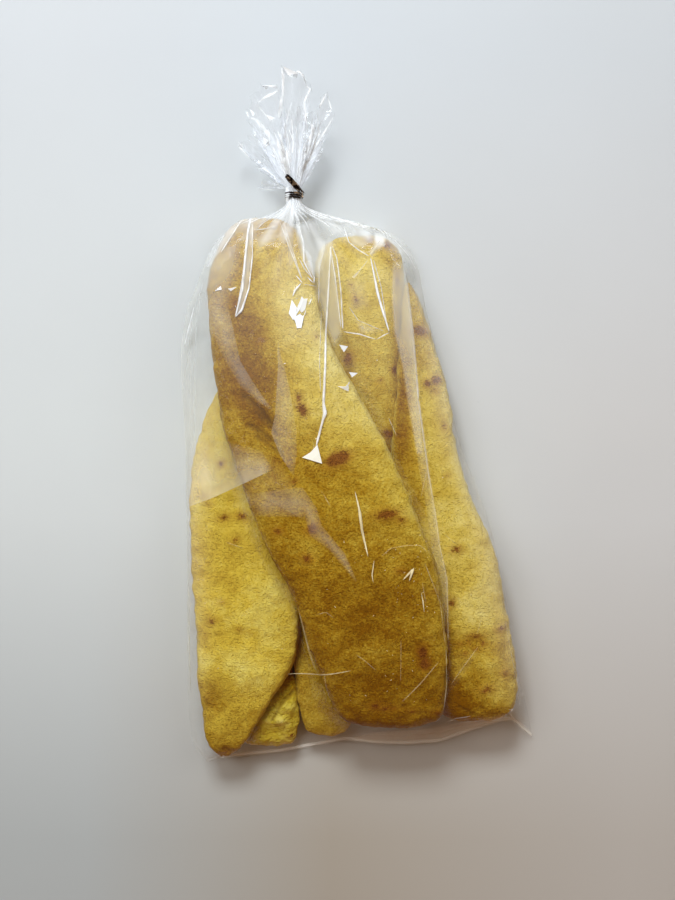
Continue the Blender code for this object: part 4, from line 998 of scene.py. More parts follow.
def clear_film_material(name, scale, amount, mirror_least, low_milk=(0.9, 0.93, 0.98)):
    """Clear film: it lets light through, mirrors more the flatter it is seen, and is milky where
    its haze attribute says, where layers lie together and where the light's glare on it is painted
    as milk; the milk is bluer at the top and warmer low down, over the bread, painted colours of the
    light."""
    material, tree, output = fresh_material(name)
    facing = node(tree, "ShaderNodeLayerWeight", {"Blend": 0.5}).outputs["Facing"]
    steep = sums(tree, "MULTIPLY", sums(tree, "POWER", facing, 5.0), 0.55)
    lit = node(tree, "ShaderNodeLightPath").outputs["Is Shadow Ray"]
    unlit = sums(tree, "SUBTRACT", 1.0, lit)
    mirror = sums(tree, "MULTIPLY", sums(tree, "ADD", steep, mirror_least), unlit)
    clear = node(tree, "ShaderNodeBsdfTransparent", {"Color": FILM_TINT})
    gloss = node(tree, "ShaderNodeBsdfPrincipled", {
        "Base Color": MIRROR_TINT, "Metallic": 1.0, "Roughness": 0.07,
        "Normal": crinkled_normal(tree, scale, amount)})
    film = node(tree, "ShaderNodeMixShader", {0: mirror, 1: clear.outputs[0], 2: gloss.outputs[0]})
    # Painted colour of the light in the milk: warmer low down over the bread, bluer at the top.
    up = axis_of(tree, object_place(tree), "Y")
    tone = mixed(tree, ranged(tree, up, -0.03, 0.03), (*low_milk, 1.0), MILK_MIDDLE)
    tone = mixed(tree, ranged(tree, up, 0.06, 0.08), tone, MILK_TOP)
    milk = node(tree, "ShaderNodeMixShader", {
        0: 0.15, 1: node(tree, "ShaderNodeBsdfDiffuse", {"Color": tone}).outputs[0],
        2: node(tree, "ShaderNodeBsdfTranslucent", {"Color": tone}).outputs[0]})
    haze = sums(tree, "MULTIPLY", attribute(tree, "haze"), ranged(tree, lit, 0.0, 1.0, 1.0, 0.5))
    mix = node(tree, "ShaderNodeMixShader", {0: haze, 1: film.outputs[0], 2: milk.outputs[0]})
    tree.links.new(mix.outputs[0], output.inputs["Surface"])
    return material


clear_film = clear_film_material("clear film", 240.0, 0.1, 0.025, (0.92, 0.88, 0.8))
ring_ys = body_ys()
side_z = np.array([EDGE_Z + (NECK.z - EDGE_Z) * smooth((y - SIDE_RISE_Y) / SIDE_RISE_REACH)
                   for y in ring_ys])
front_us = places_across(FRONT_COLUMNS)
front_angles = np.linspace(math.pi, 0.0, FRONT_COLUMNS + 1)
front, pleat = panel_points(ring_ys, front_us, front_angles, side_z,
                            film_over_bread(ring_ys, front_us, side_z))
for k in range(BODY_ROWS - 4, len(ring_ys)):
    for point in front[k]:
        under = height_over(bread_tree, point[0], point[1])
        point[2] = max(point[2], under + FILM_GAP)
fold_and_wave(front, front_us, len(ring_ys) - 1)
bag_front = film_panel("bag_film_front", front, True, milk_at(front, pleat))
back_us = places_across(BACK_COLUMNS)
back = panel_points(ring_ys, back_us, np.linspace(-math.pi, 0.0, BACK_COLUMNS + 1), side_z)[0]
bag_back = film_panel("bag_film_back", back, False, np.full(back.shape[:2], BACK_HAZE))
for panel in (bag_front, bag_back):
    worn_by(panel, clear_film, "clear_film", "bread_bag")
front_tree = surface_under([bag_front])

# ---------------------------------------------------------------------------------------
# The creases. Where the film has been folded sharply it stands up in thin lines and small
# facets, which are drawn white as painted highlights of the light they catch.
CREASE_STEP, CREASE_TAPER = 0.8, 2.2         # length of a strip's steps, and of its pointed ends
CREASE_FOOT, CREASE_PEAK, FACET_LIFT = 0.05, 0.2, 0.12
SPARKLES = [     # (seed, how many, low corner, high corner) of each part with tiny glints
    (6, 34, (-12.0, -112.0), (31.0, -44.0)),
    (7, 26, (10.0, -74.0), (32.0, -48.0)),
    (9, 16, (-62.0, -120.0), (60.0, 60.0)),
]
NECK_STREAKS = (2, 34)       # seed, how many


def run_along(points):
    """Distance along a bent line to each of its points."""
    return np.concatenate([[0.0], np.cumsum(np.hypot(*np.diff(points, axis=0).T))])


def crease_strip(bm, highlight_share, tree, line, white, lift):
    """A tent-shaped strip along a crease, lying on the film under it."""
    points = np.array(line)
    run = run_along(points[:, :2])
    steps = max(4, int(run[-1] / CREASE_STEP))
    made = bmesh.ops.create_grid(bm, x_segments=steps, y_segments=4, size=1.0)["verts"]
    for vert in made:
        far = (vert.co.x + 1.0) / 2.0 * run[-1]
        across = vert.co.y
        x, y, half = (np.interp(far, run, points[:, axis]) for axis in range(3))
        near_end = min(far, run[-1] - far)
        half *= 0.35 + 0.65 * min(1.0, near_end / CREASE_TAPER)
        ahead, behind = (np.array([np.interp(far + step, run, points[:, axis]) for axis in (0, 1)])
                         for step in (0.4, -0.4))
        way = (ahead - behind) / (np.hypot(*(ahead - behind)) + 1e-9)
        x, y = x - way[1] * half * across, y + way[0] * half * across
        z = height_over(tree, x, y, lift) + CREASE_FOOT + CREASE_PEAK * half * (1.0 - abs(across))
        vert.co = (x, y, z)
        # Painted highlight: how white the strip is, streaked along it, fading at its ends and clear at
        # its edges.
        streak = 0.8 + 0.5 * noise.noise(Vector((far / 3.5, x, y / 9.0)))
        share = min(1.0, near_end / 0.9 + 0.2) * min(1.15, max(0.3, streak))
        vert[highlight_share] = min(1.0, white * share) * (0.0 if abs(across) > 0.9 else 1.0)


def facet(bm, highlight_share, tree, corners, white, lift):
    """A small flat piece of film between creases, drawn white as a painted highlight."""
    count = len(corners)
    made = bmesh.ops.create_circle(bm, segments=count, radius=1.0, cap_ends=True,
                                   cap_tris=True)["verts"]
    centre = np.mean(corners, axis=0)
    for vert in made:
        if vert.co.length < 0.5:
            x, y = centre
        else:
            turn = math.atan2(vert.co.x, vert.co.y) / (2.0 * math.pi)
            x, y = corners[round(turn * count) % count]
        vert.co = (x, y, height_over(tree, x, y, lift) + FACET_LIFT)
        vert[highlight_share] = white


def painted_highlight_folds(name, tree, creases, facets, lift=1.0):
    """A piece of all the creases and facets on some film, drawn white as painted highlights."""
    bm = bmesh.new()
    highlight_share = bm.verts.layers.float.new("white")
    for white, line in creases:
        crease_strip(bm, highlight_share, tree, line, white, lift)
    for white, corners in facets:
        facet(bm, highlight_share, tree, corners, white, lift)
    for face in bm.faces:
        if face.normal.z < 0.0:
            face.normal_flip()
    return finished_mesh(name, bm)


def sparkles(seed, count, low, high):
    """Tiny white facets, painted glints, scattered over a part of the film."""
    rng = np.random.default_rng(seed)
    made = []
    for _ in range(count):
        middle, size, turn = rng.uniform(low, high), rng.uniform(0.16, 0.42), rng.uniform(0.0, 6.28)
        corners = [(middle[0] + size * reach * math.cos(turn + angle),
                    middle[1] + size * reach * math.sin(turn + angle))
                   for angle, reach in ((0.0, 1.6), (-2.3, 0.7), (-3.6, 0.6))]
        made.append((rng.uniform(0.35, 1.0), corners))
    return made


def painted_highlight_material():
    """Painted highlights on the film's creases and facets: white, as opaque as its white attribute
    says, and golden low down, over the bread, a painted warm reflection of the bread's light."""
    material, tree, output = fresh_material("painted highlight film")
    up = axis_of(tree, object_place(tree), "Y")
    # Painted golden reflection low down over the bread, white elsewhere.
    over_bread = sums(tree, "MULTIPLY", ranged(tree, up, 0.0, -0.035), ranged(tree, up, -0.112, -0.104))
    tint = mixed(tree, over_bread, (0.98, 0.99, 1.0, 1.0), (1.0, 0.87, 0.52, 1.0))
    shader = node(tree, "ShaderNodeBsdfPrincipled", {
        "Base Color": tint, "Roughness": 0.3, "Alpha": attribute(tree, "white"),
        "Normal": crinkled_normal(tree, 500.0, 0.1)})
    tree.links.new(shader.outputs[0], output.inputs["Surface"])
    return material


def neck_streaks(seed, count):
    """Fine white streaks, painted highlights, that run down from the neck along the film's pleats."""
    rng = np.random.default_rng(seed)
    streaks = []
    for _ in range(count):
        u, start, reach = rng.uniform(0.04, 0.96), rng.uniform(0.2, 5.0), rng.uniform(3.0, 13.0)
        angle = math.pi * (1.0 - u)
        line = []
        for y in np.linspace(NECK_LOW_Y - start, NECK_LOW_Y - start - reach, 6):
            x = plan_row(np.array([u]), y)[0][0]
            x += (NECK.x + NECK_RADIUS * math.cos(angle) - x) * gathered(y)
            line.append((x, y, rng.uniform(0.12, 0.4)))
        streaks.append((rng.uniform(0.25, 0.85), line))
    return streaks


painted_highlight_film = painted_highlight_material()
glints = []
for sparkle_facts in SPARKLES:
    glints += sparkles(*sparkle_facts)
body_folds = painted_highlight_folds("bag_crease_highlights", front_tree, CREASES + neck_streaks(*NECK_STREAKS),
                            FACETS + glints)
worn_by(body_folds, painted_highlight_film, "clear_film", "bread_bag")

# ---------------------------------------------------------------------------------------
# Inner folds of the gussets. Where the sides stay folded in, two more layers of the same
# film lie between the front and the bread, and show as pale bands with one sharper edge.
GUSSET_FOLDS = {
    # haze at the left line, between the lines and at the right line; left line; right line
    "gusset_left_upper": (
        0.04, 0.15, 0.1,
        [(-56, 43.5), (-54.2, 29.5), (-50.4, 21.8), (-45.1, 12.6), (-38.1, 6.3), (-32.5, 2.8)],
        [(-49.7, 43.5), (-47.6, 34.4), (-44.8, 21.8), (-40.5, 14.7), (-36.3, 8.4), (-32.1, 3.2)]),
    "gusset_left_middle": (
        0.16, 0.13, 0.06,
        [(-30.4, 30.6), (-30.7, 25.1), (-30.4, 20.2), (-31.5, 1.6), (-33, -5.6), (-29.6, -14),
         (-24.7, -21.6)],
        [(-30.2, 30.3), (-29.6, 25.1), (-28.1, 20.2), (-25.8, 10.7), (-23.5, -4.1), (-23.2, -13.6),
         (-24.3, -22)]),
    "gusset_left_lower": (
        0.03, 0.24, 0.4,
        [(-69, -6), (-47.2, -9.5), (-36.5, -12.5), (-32.4, -19)],
        [(-69.5, -35.5), (-57.3, -31.1), (-44.5, -25.3), (-33.6, -20.2)]),
    "gusset_left_corner": (
        0.0, 0.05, 0.05,
        [(-50, -17), (-38, -9), (-29, -16), (-22, -27)],
        [(-44, -36), (-36, -30), (-27, -35), (-20, -39)]),
    "gusset_slant": (
        0.06, 0.18, 0.04,
        [(-42.3, -28.9), (-28.2, -27), (-21, -26.2), (-15.6, -34.2), (-13.7, -40.7), (-4.9, -51.4),
         (-0.3, -61.7)],
        [(-40.8, -37.3), (-27.8, -37.3), (-20.2, -37.3), (-18.3, -44.5), (-11, -49.9), (-5.5, -56.4),
         (-1, -62.3)]),
    "gusset_right_fold": (
        0.05, 0.12, 0.3,
        [(13.4, 60.9), (13.3, 50.4), (14.6, 35.3), (18.8, 15.5), (20.4, 7.4), (23.8, -20.2),
         (27, -37.3), (28.3, -49.7), (31.8, -62.1), (33, -80.1)],
        [(18.8, 60.9), (19.7, 50.4), (21.7, 33), (22.9, 15.5), (23.7, 7.4), (27.4, -20.2),
         (30.3, -37.3), (31.8, -49.7), (34.6, -62.1), (34.7, -82.8)]),
    "gusset_right_corner": (
        0.0, 0.01, 0.03,
        [(36, -90), (34, -100), (30.9, -110.3)],
        [(47.8, -90.2), (41.5, -99), (31.5, -111)]),
}
FOLD_STEPS_ALONG, FOLD_STEPS_ACROSS = 90, 16
FOLD_DEPTH, FOLD_STACK = 0.1, 0.02           # depth under the front of the first, and of each next


def gusset_fold(name, depth, haze_left, haze_middle, haze_right, left, right):
    """A strip of film between two lines, lying just under the front film."""
    bm = bmesh.new()
    milky = bm.verts.layers.float.new("haze")
    bmesh.ops.create_grid(bm, x_segments=FOLD_STEPS_ACROSS, y_segments=FOLD_STEPS_ALONG, size=1.0)
    sides = []
    for line in (left, right):
        run = run_along(np.array(line))
        sides.append((run / run[-1], np.array(line)))
    for vert in bm.verts:
        across, t = (vert.co.x + 1.0) / 2.0, (vert.co.y + 1.0) / 2.0
        ends = [np.array([np.interp(t, run, line[:, axis]) for axis in (0, 1)]) for run, line in sides]
        x, y = ends[0] + (ends[1] - ends[0]) * across
        vert.co = (x, y, height_over(front_tree, x, y, 1.4) - depth)
        haze = np.interp(across, (0.0, 0.5, 1.0), (haze_left, haze_middle, haze_right))
        cloud = 1.0 + 0.5 * noise.noise(Vector((x / 6.0, y / 14.0, 2.0)))
        vert[milky] = haze * cloud * min(1.0, 8.0 * min(t, 1.0 - t) + 0.1)
    face_one_way(bm)
    return finished_mesh(name, bm)


inner_film = clear_film_material("inner film", 180.0, 0.1, 0.005, (0.92, 0.87, 0.7))
for k, (fold_name, fold_facts) in enumerate(GUSSET_FOLDS.items()):
    gusset = gusset_fold(fold_name, FOLD_DEPTH + FOLD_STACK * k, *fold_facts)
    worn_by(gusset, inner_film, "clear_film", "bread_bag")

# ---------------------------------------------------------------------------------------
# The seal. Front and back are welded together along the bottom edge in a narrow band, a
# little thicker than the film and whiter, partly a painted highlight along the edge, that ends in a
# pointed ear at each corner.
SEAL_BAND, SEAL_THICK, SEAL_STEPS, SEAL_HAZE = 1.3, 0.12, 180, 0.38


def seal_band():
    """A thin band along the bottom edge, with its own thickness."""
    bm = bmesh.new()
    milky = bm.verts.layers.float.new("haze")
    bmesh.ops.create_grid(bm, x_segments=SEAL_STEPS, y_segments=3, size=1.0)
    for vert in bm.verts:
        u, across = (vert.co.x + 1.0) / 2.0, (vert.co.y + 1.0) / 2.0
        x, y = plan_row(np.array([u]), SEAL_Y)[0]
        z = seal_height(math.sin(math.pi * min(max(u, 0.0), 1.0)) ** 0.5)
        vert.co = (x, y + SEAL_BAND * (across - 0.6), z + 0.15 * across)
    bmesh.ops.solidify(bm, geom=bm.faces[:] + bm.edges[:] + bm.verts[:], thickness=SEAL_THICK)
    # Painted highlight along the seal, fading towards the left ear.
    for vert in bm.verts:
        from_ear = vert.co.x - SEAL_LINE[1][0]
        vert[milky] = SEAL_HAZE * (0.15 + 0.85 * smooth(from_ear / 12.0))
    bmesh.ops.recalc_face_normals(bm, faces=bm.faces)
    return finished_mesh("bag_seal", bm)


worn_by(seal_band(), clear_film, "clear_film", "bread_bag")

# ---------------------------------------------------------------------------------------
# The frill. Above the tie the film's open mouth spreads out again as a crumpled fan of
# stiff petals, made of flat facets that meet in sharp creases, with painted white highlights along them.
PETALS = {
    # seed, angles round the neck where it starts and ends (degrees); mouth: [(x, y, z), ...]
    "frill_top": (
        3, 112, 48,
        [(-29.8, 108.8, 22), (-29.8, 124.4, 23), (-30, 137.3, 23.5), (-22.8, 134.5, 24),
         (-17.7, 130.2, 23), (-20.8, 122.8, 22), (-20.1, 114.2, 22), (-20.4, 104.9, 20)]),
    "frill_upper_left": (
        8, 182, 108,
        [(-37.1, 107.6, 14), (-40.5, 113.4, 15), (-42.7, 118, 16), (-43.5, 121.3, 17),
         (-41.5, 126.8, 18), (-37.5, 131.5, 19), (-31.1, 131.2, 20), (-29.6, 121.3, 21),
         (-29.4, 108.8, 21)]),
    "frill_right": (
        13, 54, -4,
        [(-20.1, 109.5, 21), (-15.8, 122.4, 20), (-11.9, 128.7, 18), (-8.9, 120.1, 16),
         (-13.5, 112.6, 16), (-13.9, 105.6, 15), (-18.6, 100.9, 14)]),
    "frill_left_flap": (
        17, 204, 176,
        [(-33.2, 99.9, 9), (-42.8, 105.5, 8), (-47.5, 110.2, 8.5), (-42.8, 113.6, 10),
         (-37.5, 109.1, 12)]),
    "frill_left_low": (
        21, 216, 196,
        [(-37.8, 102.1, 11), (-40.2, 100.9, 11), (-37.4, 99.3, 11), (-32.6, 98.1, 11)]),
    "frill_left_end": (
        23, 232, 212,
        [(-36.2, 96.5, 11), (-39.8, 92.9, 10), (-33, 92.5, 11)]),
    "frill_back_right": (
        29, 352, 288,
        [(-16, 108, 8), (-12.5, 118, 6), (-18, 125, 4), (-24, 121, 3)]),
    "frill_back_left": (
        31, 292, 228,
        [(-26, 123, 3), (-34, 122, 3), (-39.5, 113, 4), (-38, 104, 6)]),
}
# Painted highlights along the frill's creases: (how white, [(x, y, half width), ...]).
FRILL_LINES = [
    (1.0, [(-30, 137.3, 0.3), (-28.8, 133.3, 0.6), (-29.1, 126.6, 0.5), (-30.3, 120.2, 1.2),
           (-30.8, 117.7, 1)]),
    (1.0, [(-29.1, 137.1, 0.3), (-22.7, 134.6, 0.5), (-17.9, 130.2, 0.3)]),
    (0.9, [(-37.4, 130.9, 0.5), (-31.1, 130.5, 0.6)]),
    (0.95, [(-39, 124.5, 0.3), (-35, 126.9, 0.8), (-30.7, 128.7, 0.5)]),
    (0.95, [(-17.9, 129.3, 0.4), (-20.7, 123.7, 0.7), (-19.9, 115, 0.5)]),
    (0.9, [(-11.9, 128.4, 0.3), (-15, 122.2, 0.6)]),
    (0.9, [(-11.7, 128, 0.3), (-9.9, 121.8, 0.45)]),
    (0.8, [(-9.2, 119.4, 0.3), (-13.5, 112.4, 0.5), (-17.8, 105.3, 0.4)]),
    (0.5, [(-15.8, 121.4, 0.2), (-15.4, 114.7, 0.3), (-13.8, 108.9, 0.2)]),
    (0.5, [(-39.3, 123.3, 0.2), (-34.6, 117.9, 0.4), (-32.6, 116.7, 0.2)]),
    (0.6, [(-42.4, 118.6, 0.7), (-39.7, 117.9, 0.8), (-35, 112.4, 1.1), (-34.2, 109.3, 0.6)]),
    (0.9, [(-37.3, 110.4, 0.3), (-34.2, 109.3, 0.4), (-36.9, 106.9, 0.3)]),
    (0.9, [(-34.6, 105, 0.3), (-29.9, 101.4, 0.3)]),
    (1.0, [(-31.8, 110.4, 0.5), (-29.1, 101.4, 1.4), (-27.9, 95.6, 1.1)]),
    (0.6, [(-25.6, 123.7, 0.2), (-27.2, 117.9, 0.35), (-28.7, 109.3, 0.3)]),
    (0.5, [(-24, 114.7, 0.2), (-22.8, 102.6, 0.3), (-23.6, 94.4, 0.3)]),
    (0.5, [(-13.8, 105.3, 0.3), (-21.3, 100.3, 0.3), (-22.5, 94.4, 0.3)]),
    (0.7, [(-18.5, 117.1, 0.6), (-17.4, 114, 0.7), (-20.1, 101.4, 0.4), (-22.5, 94.4, 0.3)]),
    (0.9, [(-47.2, 108.5, 0.4), (-42.4, 103.4, 0.3)]),
    (0.8, [(-39.7, 99.1, 0.3), (-37.3, 100.1, 0.4), (-32.2, 96.3, 0.3)]),
    (0.5, [(-39.3, 91.5, 0.2), (-32.6, 91, 0.3)]),
    (0.8, [(-33.4, 97.5, 0.3), (-31.1, 92.6, 0.4)]),
    (0.8, [(-31.5, 114, 0.3), (-28.7, 105.3, 0.5), (-26.4, 95.6, 0.5)]),
    (0.35, [(-21.7, 122.6, 0.2), (-20.5, 115.1, 0.3), (-24, 101.4, 0.2)]),
]
# Painted highlights on some of the frill's facets: (how white, corners).
FRILL_FACETS = [
    (0.9, [(-29.1, 137), (-23, 134), (-27, 133.8)]),
    (0.8, [(-35.8, 119.8), (-32.2, 118.3), (-34.2, 117.1)]),
    (0.95, [(-37.1, 111.2), (-34.7, 109.6), (-36.9, 107.6)]),
    (0.85, [(-31.4, 108.4), (-26.2, 106.4), (-26.3, 96.5), (-27.9, 96.5)]),
    (0.8, [(-18.6, 116.8), (-15.9, 117.6), (-16.6, 113.5)]),
    (0.7, [(-47.3, 110), (-45.8, 110.2), (-44.6, 107.1), (-43.4, 105.5)]),
]
PETAL_COLUMNS, PETAL_ROWS, RUFFLE, CRUMPLE = 4, 9, 0.75, 0.42
FRILL_LEFT, FRILL_RIGHT, FRILL_TOP, FRILL_LOW = -47.4, -9.0, 137.2, 1.0
FRILL_STREAKS = (4, 46)      # seed, how many


def frill_petal(name, seed, start_angle, end_angle, mouth):
    """A stiff crumpled piece of film from inside the tie out to its ragged mouth."""
    columns = (len(mouth) - 1) * PETAL_COLUMNS
    rng = np.random.default_rng(seed)
    shake = rng.normal(0.0, 1.0, (PETAL_ROWS + 1, columns + 1, 3))
    bm = bmesh.new()
    milky = bm.verts.layers.float.new("haze")
    bmesh.ops.create_grid(bm, x_segments=columns, y_segments=PETAL_ROWS, size=1.0)
    rim = np.array(mouth)
    for vert in bm.verts:
        i, k = grid_place(vert, columns, PETAL_ROWS)
        t = k / PETAL_ROWS
        angle = math.radians(start_angle + (end_angle - start_angle) * i / columns)
        out = Vector((math.cos(angle), 0.0, math.sin(angle)))
        base = Vector((NECK.x, NECK_HIGH_Y - 1.0, NECK.z)) + out * (NECK_RADIUS - 0.2)
        tip = Vector([np.interp(i / PETAL_COLUMNS, range(len(mouth)), rim[:, axis])
                      for axis in range(3)])
        point = base.lerp(tip, t)
        point.z += (tip.z - base.z) * (t**0.7 - t)
        fold = {0: 1.0, 2: -1.0}.get(i % PETAL_COLUMNS, 0.0)
        point += out * fold * RUFFLE * min(1.0, 2.5 * t)
        point += Vector(shake[k, i]) * CRUMPLE * t
        vert.co = (min(max(point.x, FRILL_LEFT), FRILL_RIGHT), min(point.y, FRILL_TOP),
                   max(point.z, FRILL_LOW))
        vert[milky] = 0.5 * (1.0 - t) ** 1.4 + 0.03 + 0.08 * abs(shake[k, i, 2])
    bmesh.ops.triangulate(bm, faces=bm.faces)
    face_one_way(bm)
    petal = finished_mesh(name, bm, smooth=False)
    crease = petal.modifiers.new("creases", "BEVEL")
    crease.width = 0.00016
    crease.segments = 2
    crease.limit_method = "ANGLE"
    crease.angle_limit = math.radians(12)
    crease.harden_normals = True
    return petal


def frill_streaks(seed, count):
    """Fine white streaks, painted highlights, that spread up from the tie."""
    rng = np.random.default_rng(seed)
    streaks = []
    for _ in range(count):
        turn, start, length = rng.uniform(-0.62, 0.55), rng.uniform(2.0, 12.0), rng.uniform(5.0, 14.0)
        line = []
        for far in (start, start + 0.5 * length, start + length):
            bend = turn + rng.normal(0.0, 0.03)
            line.append((NECK.x + 1.6 * turn + far * math.sin(bend), NECK_HIGH_Y + far * math.cos(bend),
                         rng.uniform(0.15, 0.45)))
        streaks.append((rng.uniform(0.3, 0.9), line))
    return streaks


frill_film = clear_film_material("frill film", 300.0, 0.16, 0.09)
petals = [frill_petal(petal_name, *petal_facts) for petal_name, petal_facts in PETALS.items()]
for petal in petals:
    worn_by(petal, frill_film, "clear_film", "bread_bag")
frill_folds = painted_highlight_folds("frill_crease_highlights", surface_under(petals),
                             FRILL_LINES + frill_streaks(*FRILL_STREAKS), FRILL_FACETS, NECK.z)
worn_by(frill_folds, painted_highlight_film, "clear_film", "bread_bag")

# ---------------------------------------------------------------------------------------
# The twist tie. A wire in a narrow strip of dark golden foil, wound three times round the
# neck, with its two ends twisted together and bent over towards the frill.
TIE_START, TIE_TURNS, WIRE_RISE = math.radians(40.0), 3.0, 0.22
TIE_RADIUS, TIE_PITCH, TIE_STRIP, TIE_THICK, TIE_Y = 3.3, 2.6, 0.7, 0.3, 88.7
TAIL_START, TAIL_END = Vector((-21.2, 88.6, 17.6)), Vector((-27.8, 95.2, 21.0))
TIE_STEPS, TAIL_STEPS, TAIL_TWISTS, TAIL_WIDTH = 190, 60, 0.45, 1.9


def ribbon(bm, path, across, up, width, thick):
    """A strip along a path, with a raised line where the wire lies, made solid."""
    strip = bmesh.ops.create_grid(bm, x_segments=len(path) - 1, y_segments=6, size=1.0)["verts"]
    for vert in strip:
        k = grid_place(vert, len(path) - 1, 1)[0]
        share = vert.co.y
        wire = WIRE_RISE * math.exp(-(share / 0.28) ** 2)
        vert.co = path[k] + across[k] * (width / 2.0 * share) + up[k] * (thick / 2.0 + wire)
    faces = list(dict.fromkeys(face for vert in strip for face in vert.link_faces))
    geometry = faces + list(dict.fromkeys(edge for face in faces for edge in face.edges)) + strip
    bmesh.ops.solidify(bm, geom=geometry, thickness=thick)


def tie_strip():
    """The winding and the two twisted ends."""
    bm = bmesh.new()
    path, across, up = [], [], []
    for k in range(TIE_STEPS + 1):
        t = k / TIE_STEPS
        angle = TIE_START + 2.0 * math.pi * TIE_TURNS * t
        out = Vector((math.cos(angle), 0.0, math.sin(angle)))
        wobble = 0.12 * math.sin(7.0 * angle)
        y = TIE_Y - TIE_PITCH / 2.0 + TIE_PITCH * t
        path.append(Vector((NECK.x, y, NECK.z)) + out * (TIE_RADIUS + wobble + 0.15 * t))
        across.append(Vector((0.0, 1.0, 0.1 * math.sin(angle))).normalized())
        up.append(out)
    ribbon(bm, path, across, up, TIE_STRIP, TIE_THICK)
    direction = (TAIL_END - TAIL_START).normalized()
    side = direction.cross(Vector((0.0, 0.0, 1.0))).normalized()
    top = side.cross(direction)
    for phase in (0.0, math.pi):
        path, across, up = [], [], []
        for k in range(TAIL_STEPS + 1):
            t = k / TAIL_STEPS
            turn = phase + 2.0 * math.pi * TAIL_TWISTS * t
            out = side * math.cos(turn) + top * math.sin(turn)
            path.append(TAIL_START.lerp(TAIL_END, t) + out * 0.4)
            across.append((direction.cross(out) + direction * 0.35).normalized())
            up.append(out)
        ribbon(bm, path, across, up, TAIL_WIDTH, TIE_THICK)
    bmesh.ops.recalc_face_normals(bm, faces=bm.faces)
    return finished_mesh("tie_strip", bm)


# Dark foil, and the gold of its painted glints.
FOIL_BROWN, FOIL_GLINT_GOLD = (0.05, 0.03, 0.025, 1.0), (0.9, 0.68, 0.48, 1.0)


def foil_material():
    """Metallised foil: dark golden brown, with painted gold glints in small spots, where its noise also
    bumps it and makes it rougher.
    """
    material, tree, output = fresh_material("tie foil")
    glints_and_crinkle = noise_of(tree, object_place(tree), 420.0, 2.0)
    colour = mixed(tree, ranged(tree, glints_and_crinkle, 0.56, 0.62), FOIL_BROWN, FOIL_GLINT_GOLD)
    relief = node(tree, "ShaderNodeBump", {"Height": glints_and_crinkle, "Distance": 0.0002, "Strength": 0.6})
    shader = node(tree, "ShaderNodeBsdfPrincipled", {
        "Base Color": colour, "Metallic": 1.0, "Normal": relief.outputs[0],
        "Roughness": ranged(tree, glints_and_crinkle, 0.4, 0.65, 0.25, 0.4)})
    tree.links.new(shader.outputs[0], output.inputs["Surface"])
    return material


# The film that bulges out over the winding is drawn white, as painted highlights.
BULGES = [     # gathered film that bulges out over the winding
    (1.0, [(-28.2, 92.5, 0.5), (-27.5, 89.4, 1.4), (-27.8, 85.6, 0.9)]),
    (0.5, [(-25.6, 91.2, 0.2), (-25.2, 88.8, 0.7), (-25.6, 85.6, 0.3)]),
]
tie = tie_strip()
worn_by(tie, foil_material(), "tie_foil", "twist_tie")
bulges = painted_highlight_folds("neck_bulge_highlights", surface_under([tie, bag_front]), BULGES, [], NECK.z)
worn_by(bulges, painted_highlight_film, "clear_film", "bread_bag")

# ---------------------------------------------------------------------------------------
# The setting: a pale floor with painted shade, darker and warmer towards the bottom and
# brown in the middle below the bag, soft light from a window beyond the top and from the
# left, a room that is darker overhead, and the camera straight above.
FLOOR_SIZE, CAMERA_HEIGHT, PHOTO_HEIGHT = 1.6, 0.52, 0.3663
CAMERA_X, CAMERA_Y = -0.00773, -0.01186
# Painted light and shade: tones fitted so that the paper darkens and warms towards the bottom and turns
# brown in the middle below the bag.
PAPER_TONES_WITH_PAINTED_SHADE = [     # (left, middle, right), from bottom to top
    ((0.5, 0.535, 0.54), (0.465, 0.42, 0.355), (0.565, 0.535, 0.495)),
    ((0.68, 0.71, 0.71), (0.64, 0.65, 0.64), (0.655, 0.65, 0.645)),
    ((0.59, 0.61, 0.63), (0.58, 0.61, 0.64), (0.585, 0.61, 0.635)),
]
LIGHTS = {
    # place, aim, size, watts, colour, whether it lights matt things, whether it is mirrored
    "window_top": ((-0.12, 0.545, 0.58), (-0.03, 0.02, 0.0), (0.3, 0.2), 5.5, (0.88, 0.95, 1.0),
                   True, False),
    "window_left": ((-0.4, 0.25, 0.7), (0.0, 0.0, 0.0), (0.4, 0.5), 2.4, (0.96, 0.98, 1.0), True, False),
    "room_right": ((0.5, 0.24, 0.5), (0.0, 0.0, 0.0), (0.4, 0.5), 1.0, (1.0, 0.96, 0.9), True, False),
    "room_low": ((0.05, -0.8, 0.3), (0.0, 0.0, 0.0), (1.0, 0.3), 1.1, (1.0, 0.4, 0.1), True, False),
    "glint_left": ((-0.5, 0.0, 0.42), (0.0, 0.0, 0.0), (0.05, 0.9), 0.12, (0.96, 0.98, 1.0), False, True),
    "glint_top": ((-0.1, 0.5, 0.5), (0.0, 0.0, 0.0), (0.8, 0.06), 0.8, (0.95, 0.98, 1.0), False, True),
}


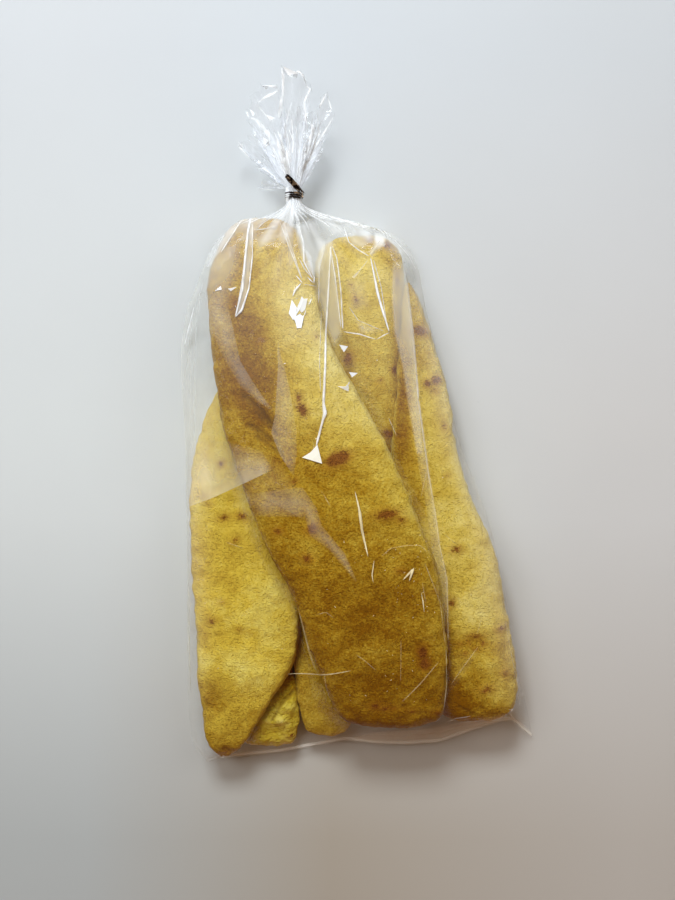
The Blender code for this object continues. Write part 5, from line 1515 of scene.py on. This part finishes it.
def pale_floor():
    """A sheet of pale paper with painted shade: lighter in its middle rows, darker and warmer towards the
    bottom and browner in the middle there, below the bag, with faint clouds in its tone.
    """
    bm = bmesh.new()
    bmesh.ops.create_grid(bm, x_segments=8, y_segments=8, size=FLOOR_SIZE / 2.0)
    mesh = bpy.data.meshes.new("pale_floor")
    bm.to_mesh(mesh)
    bm.free()
    floor = placed("pale_floor", mesh)
    material, tree, output = fresh_material("pale paper")
    place = object_place(tree)
    x, y = axis_of(tree, place, "X"), axis_of(tree, place, "Y")
    to_middle, to_right = ranged(tree, x, -0.11, -0.01), ranged(tree, x, -0.01, 0.11)
    # Painted shade: each row of tones runs from left to right, and the rows blend from bottom to top.
    bottom, middle, top = (
        mixed(tree, to_right, mixed(tree, to_middle, (*left, 1.0), (*centre, 1.0)), (*right, 1.0))
        for left, centre, right in PAPER_TONES_WITH_PAINTED_SHADE)
    shade = mixed(tree, ranged(tree, y, -0.17, -0.04), bottom, middle)
    shade = mixed(tree, ranged(tree, y, 0.0, 0.15), shade, top)
    cloud = ranged(tree, noise_of(tree, place, 14.0, 3.0), 0.3, 0.7, 0.0, 0.06)
    shade = mixed(tree, cloud, shade, (0.4, 0.4, 0.39, 1.0))
    shader = node(tree, "ShaderNodeBsdfPrincipled", {"Base Color": shade, "Roughness": 0.8})
    tree.links.new(shader.outputs[0], output.inputs["Surface"])
    mesh.materials.append(material)


def soft_light(name, place, aim, size, power, colour, matt, mirrored):
    """A rectangular light at a place, turned to what it is aimed at."""
    light = bpy.data.lights.new(name, "AREA")
    light.shape = "RECTANGLE"
    light.size, light.size_y = size
    light.energy = power
    light.color = colour
    lamp = placed(name, light)
    lamp.location = place
    lamp.rotation_euler = (Vector(place) - Vector(aim)).to_track_quat("Z", "Y").to_euler()
    lamp.visible_diffuse = matt
    lamp.visible_glossy = mirrored


def room():
    """A room that is bright towards its windows and walls and dark overhead."""
    world = bpy.data.worlds.new("room")
    world.use_nodes = True
    tree = world.node_tree
    up = axis_of(tree, node(tree, "ShaderNodeTexCoord").outputs["Generated"], "Z")
    background = tree.nodes["Background"]
    background.inputs["Color"].default_value = (1.0, 0.72, 0.46, 1.0)
    tree.links.new(ranged(tree, up, 0.0, 0.75, 0.24, 0.05), background.inputs["Strength"])
    return world


pale_floor()
for light_name, light_facts in LIGHTS.items():
    soft_light(light_name, *light_facts)
bpy.context.scene.world = room()
bpy.context.scene.view_settings.view_transform = "Standard"
bpy.context.scene.cycles.transparent_max_bounces = 32
camera = placed("camera", bpy.data.cameras.new("camera"))
camera.data.lens = camera.data.sensor_width * CAMERA_HEIGHT / PHOTO_HEIGHT
camera.location = (CAMERA_X, CAMERA_Y, CAMERA_HEIGHT)
bpy.context.scene.camera = camera
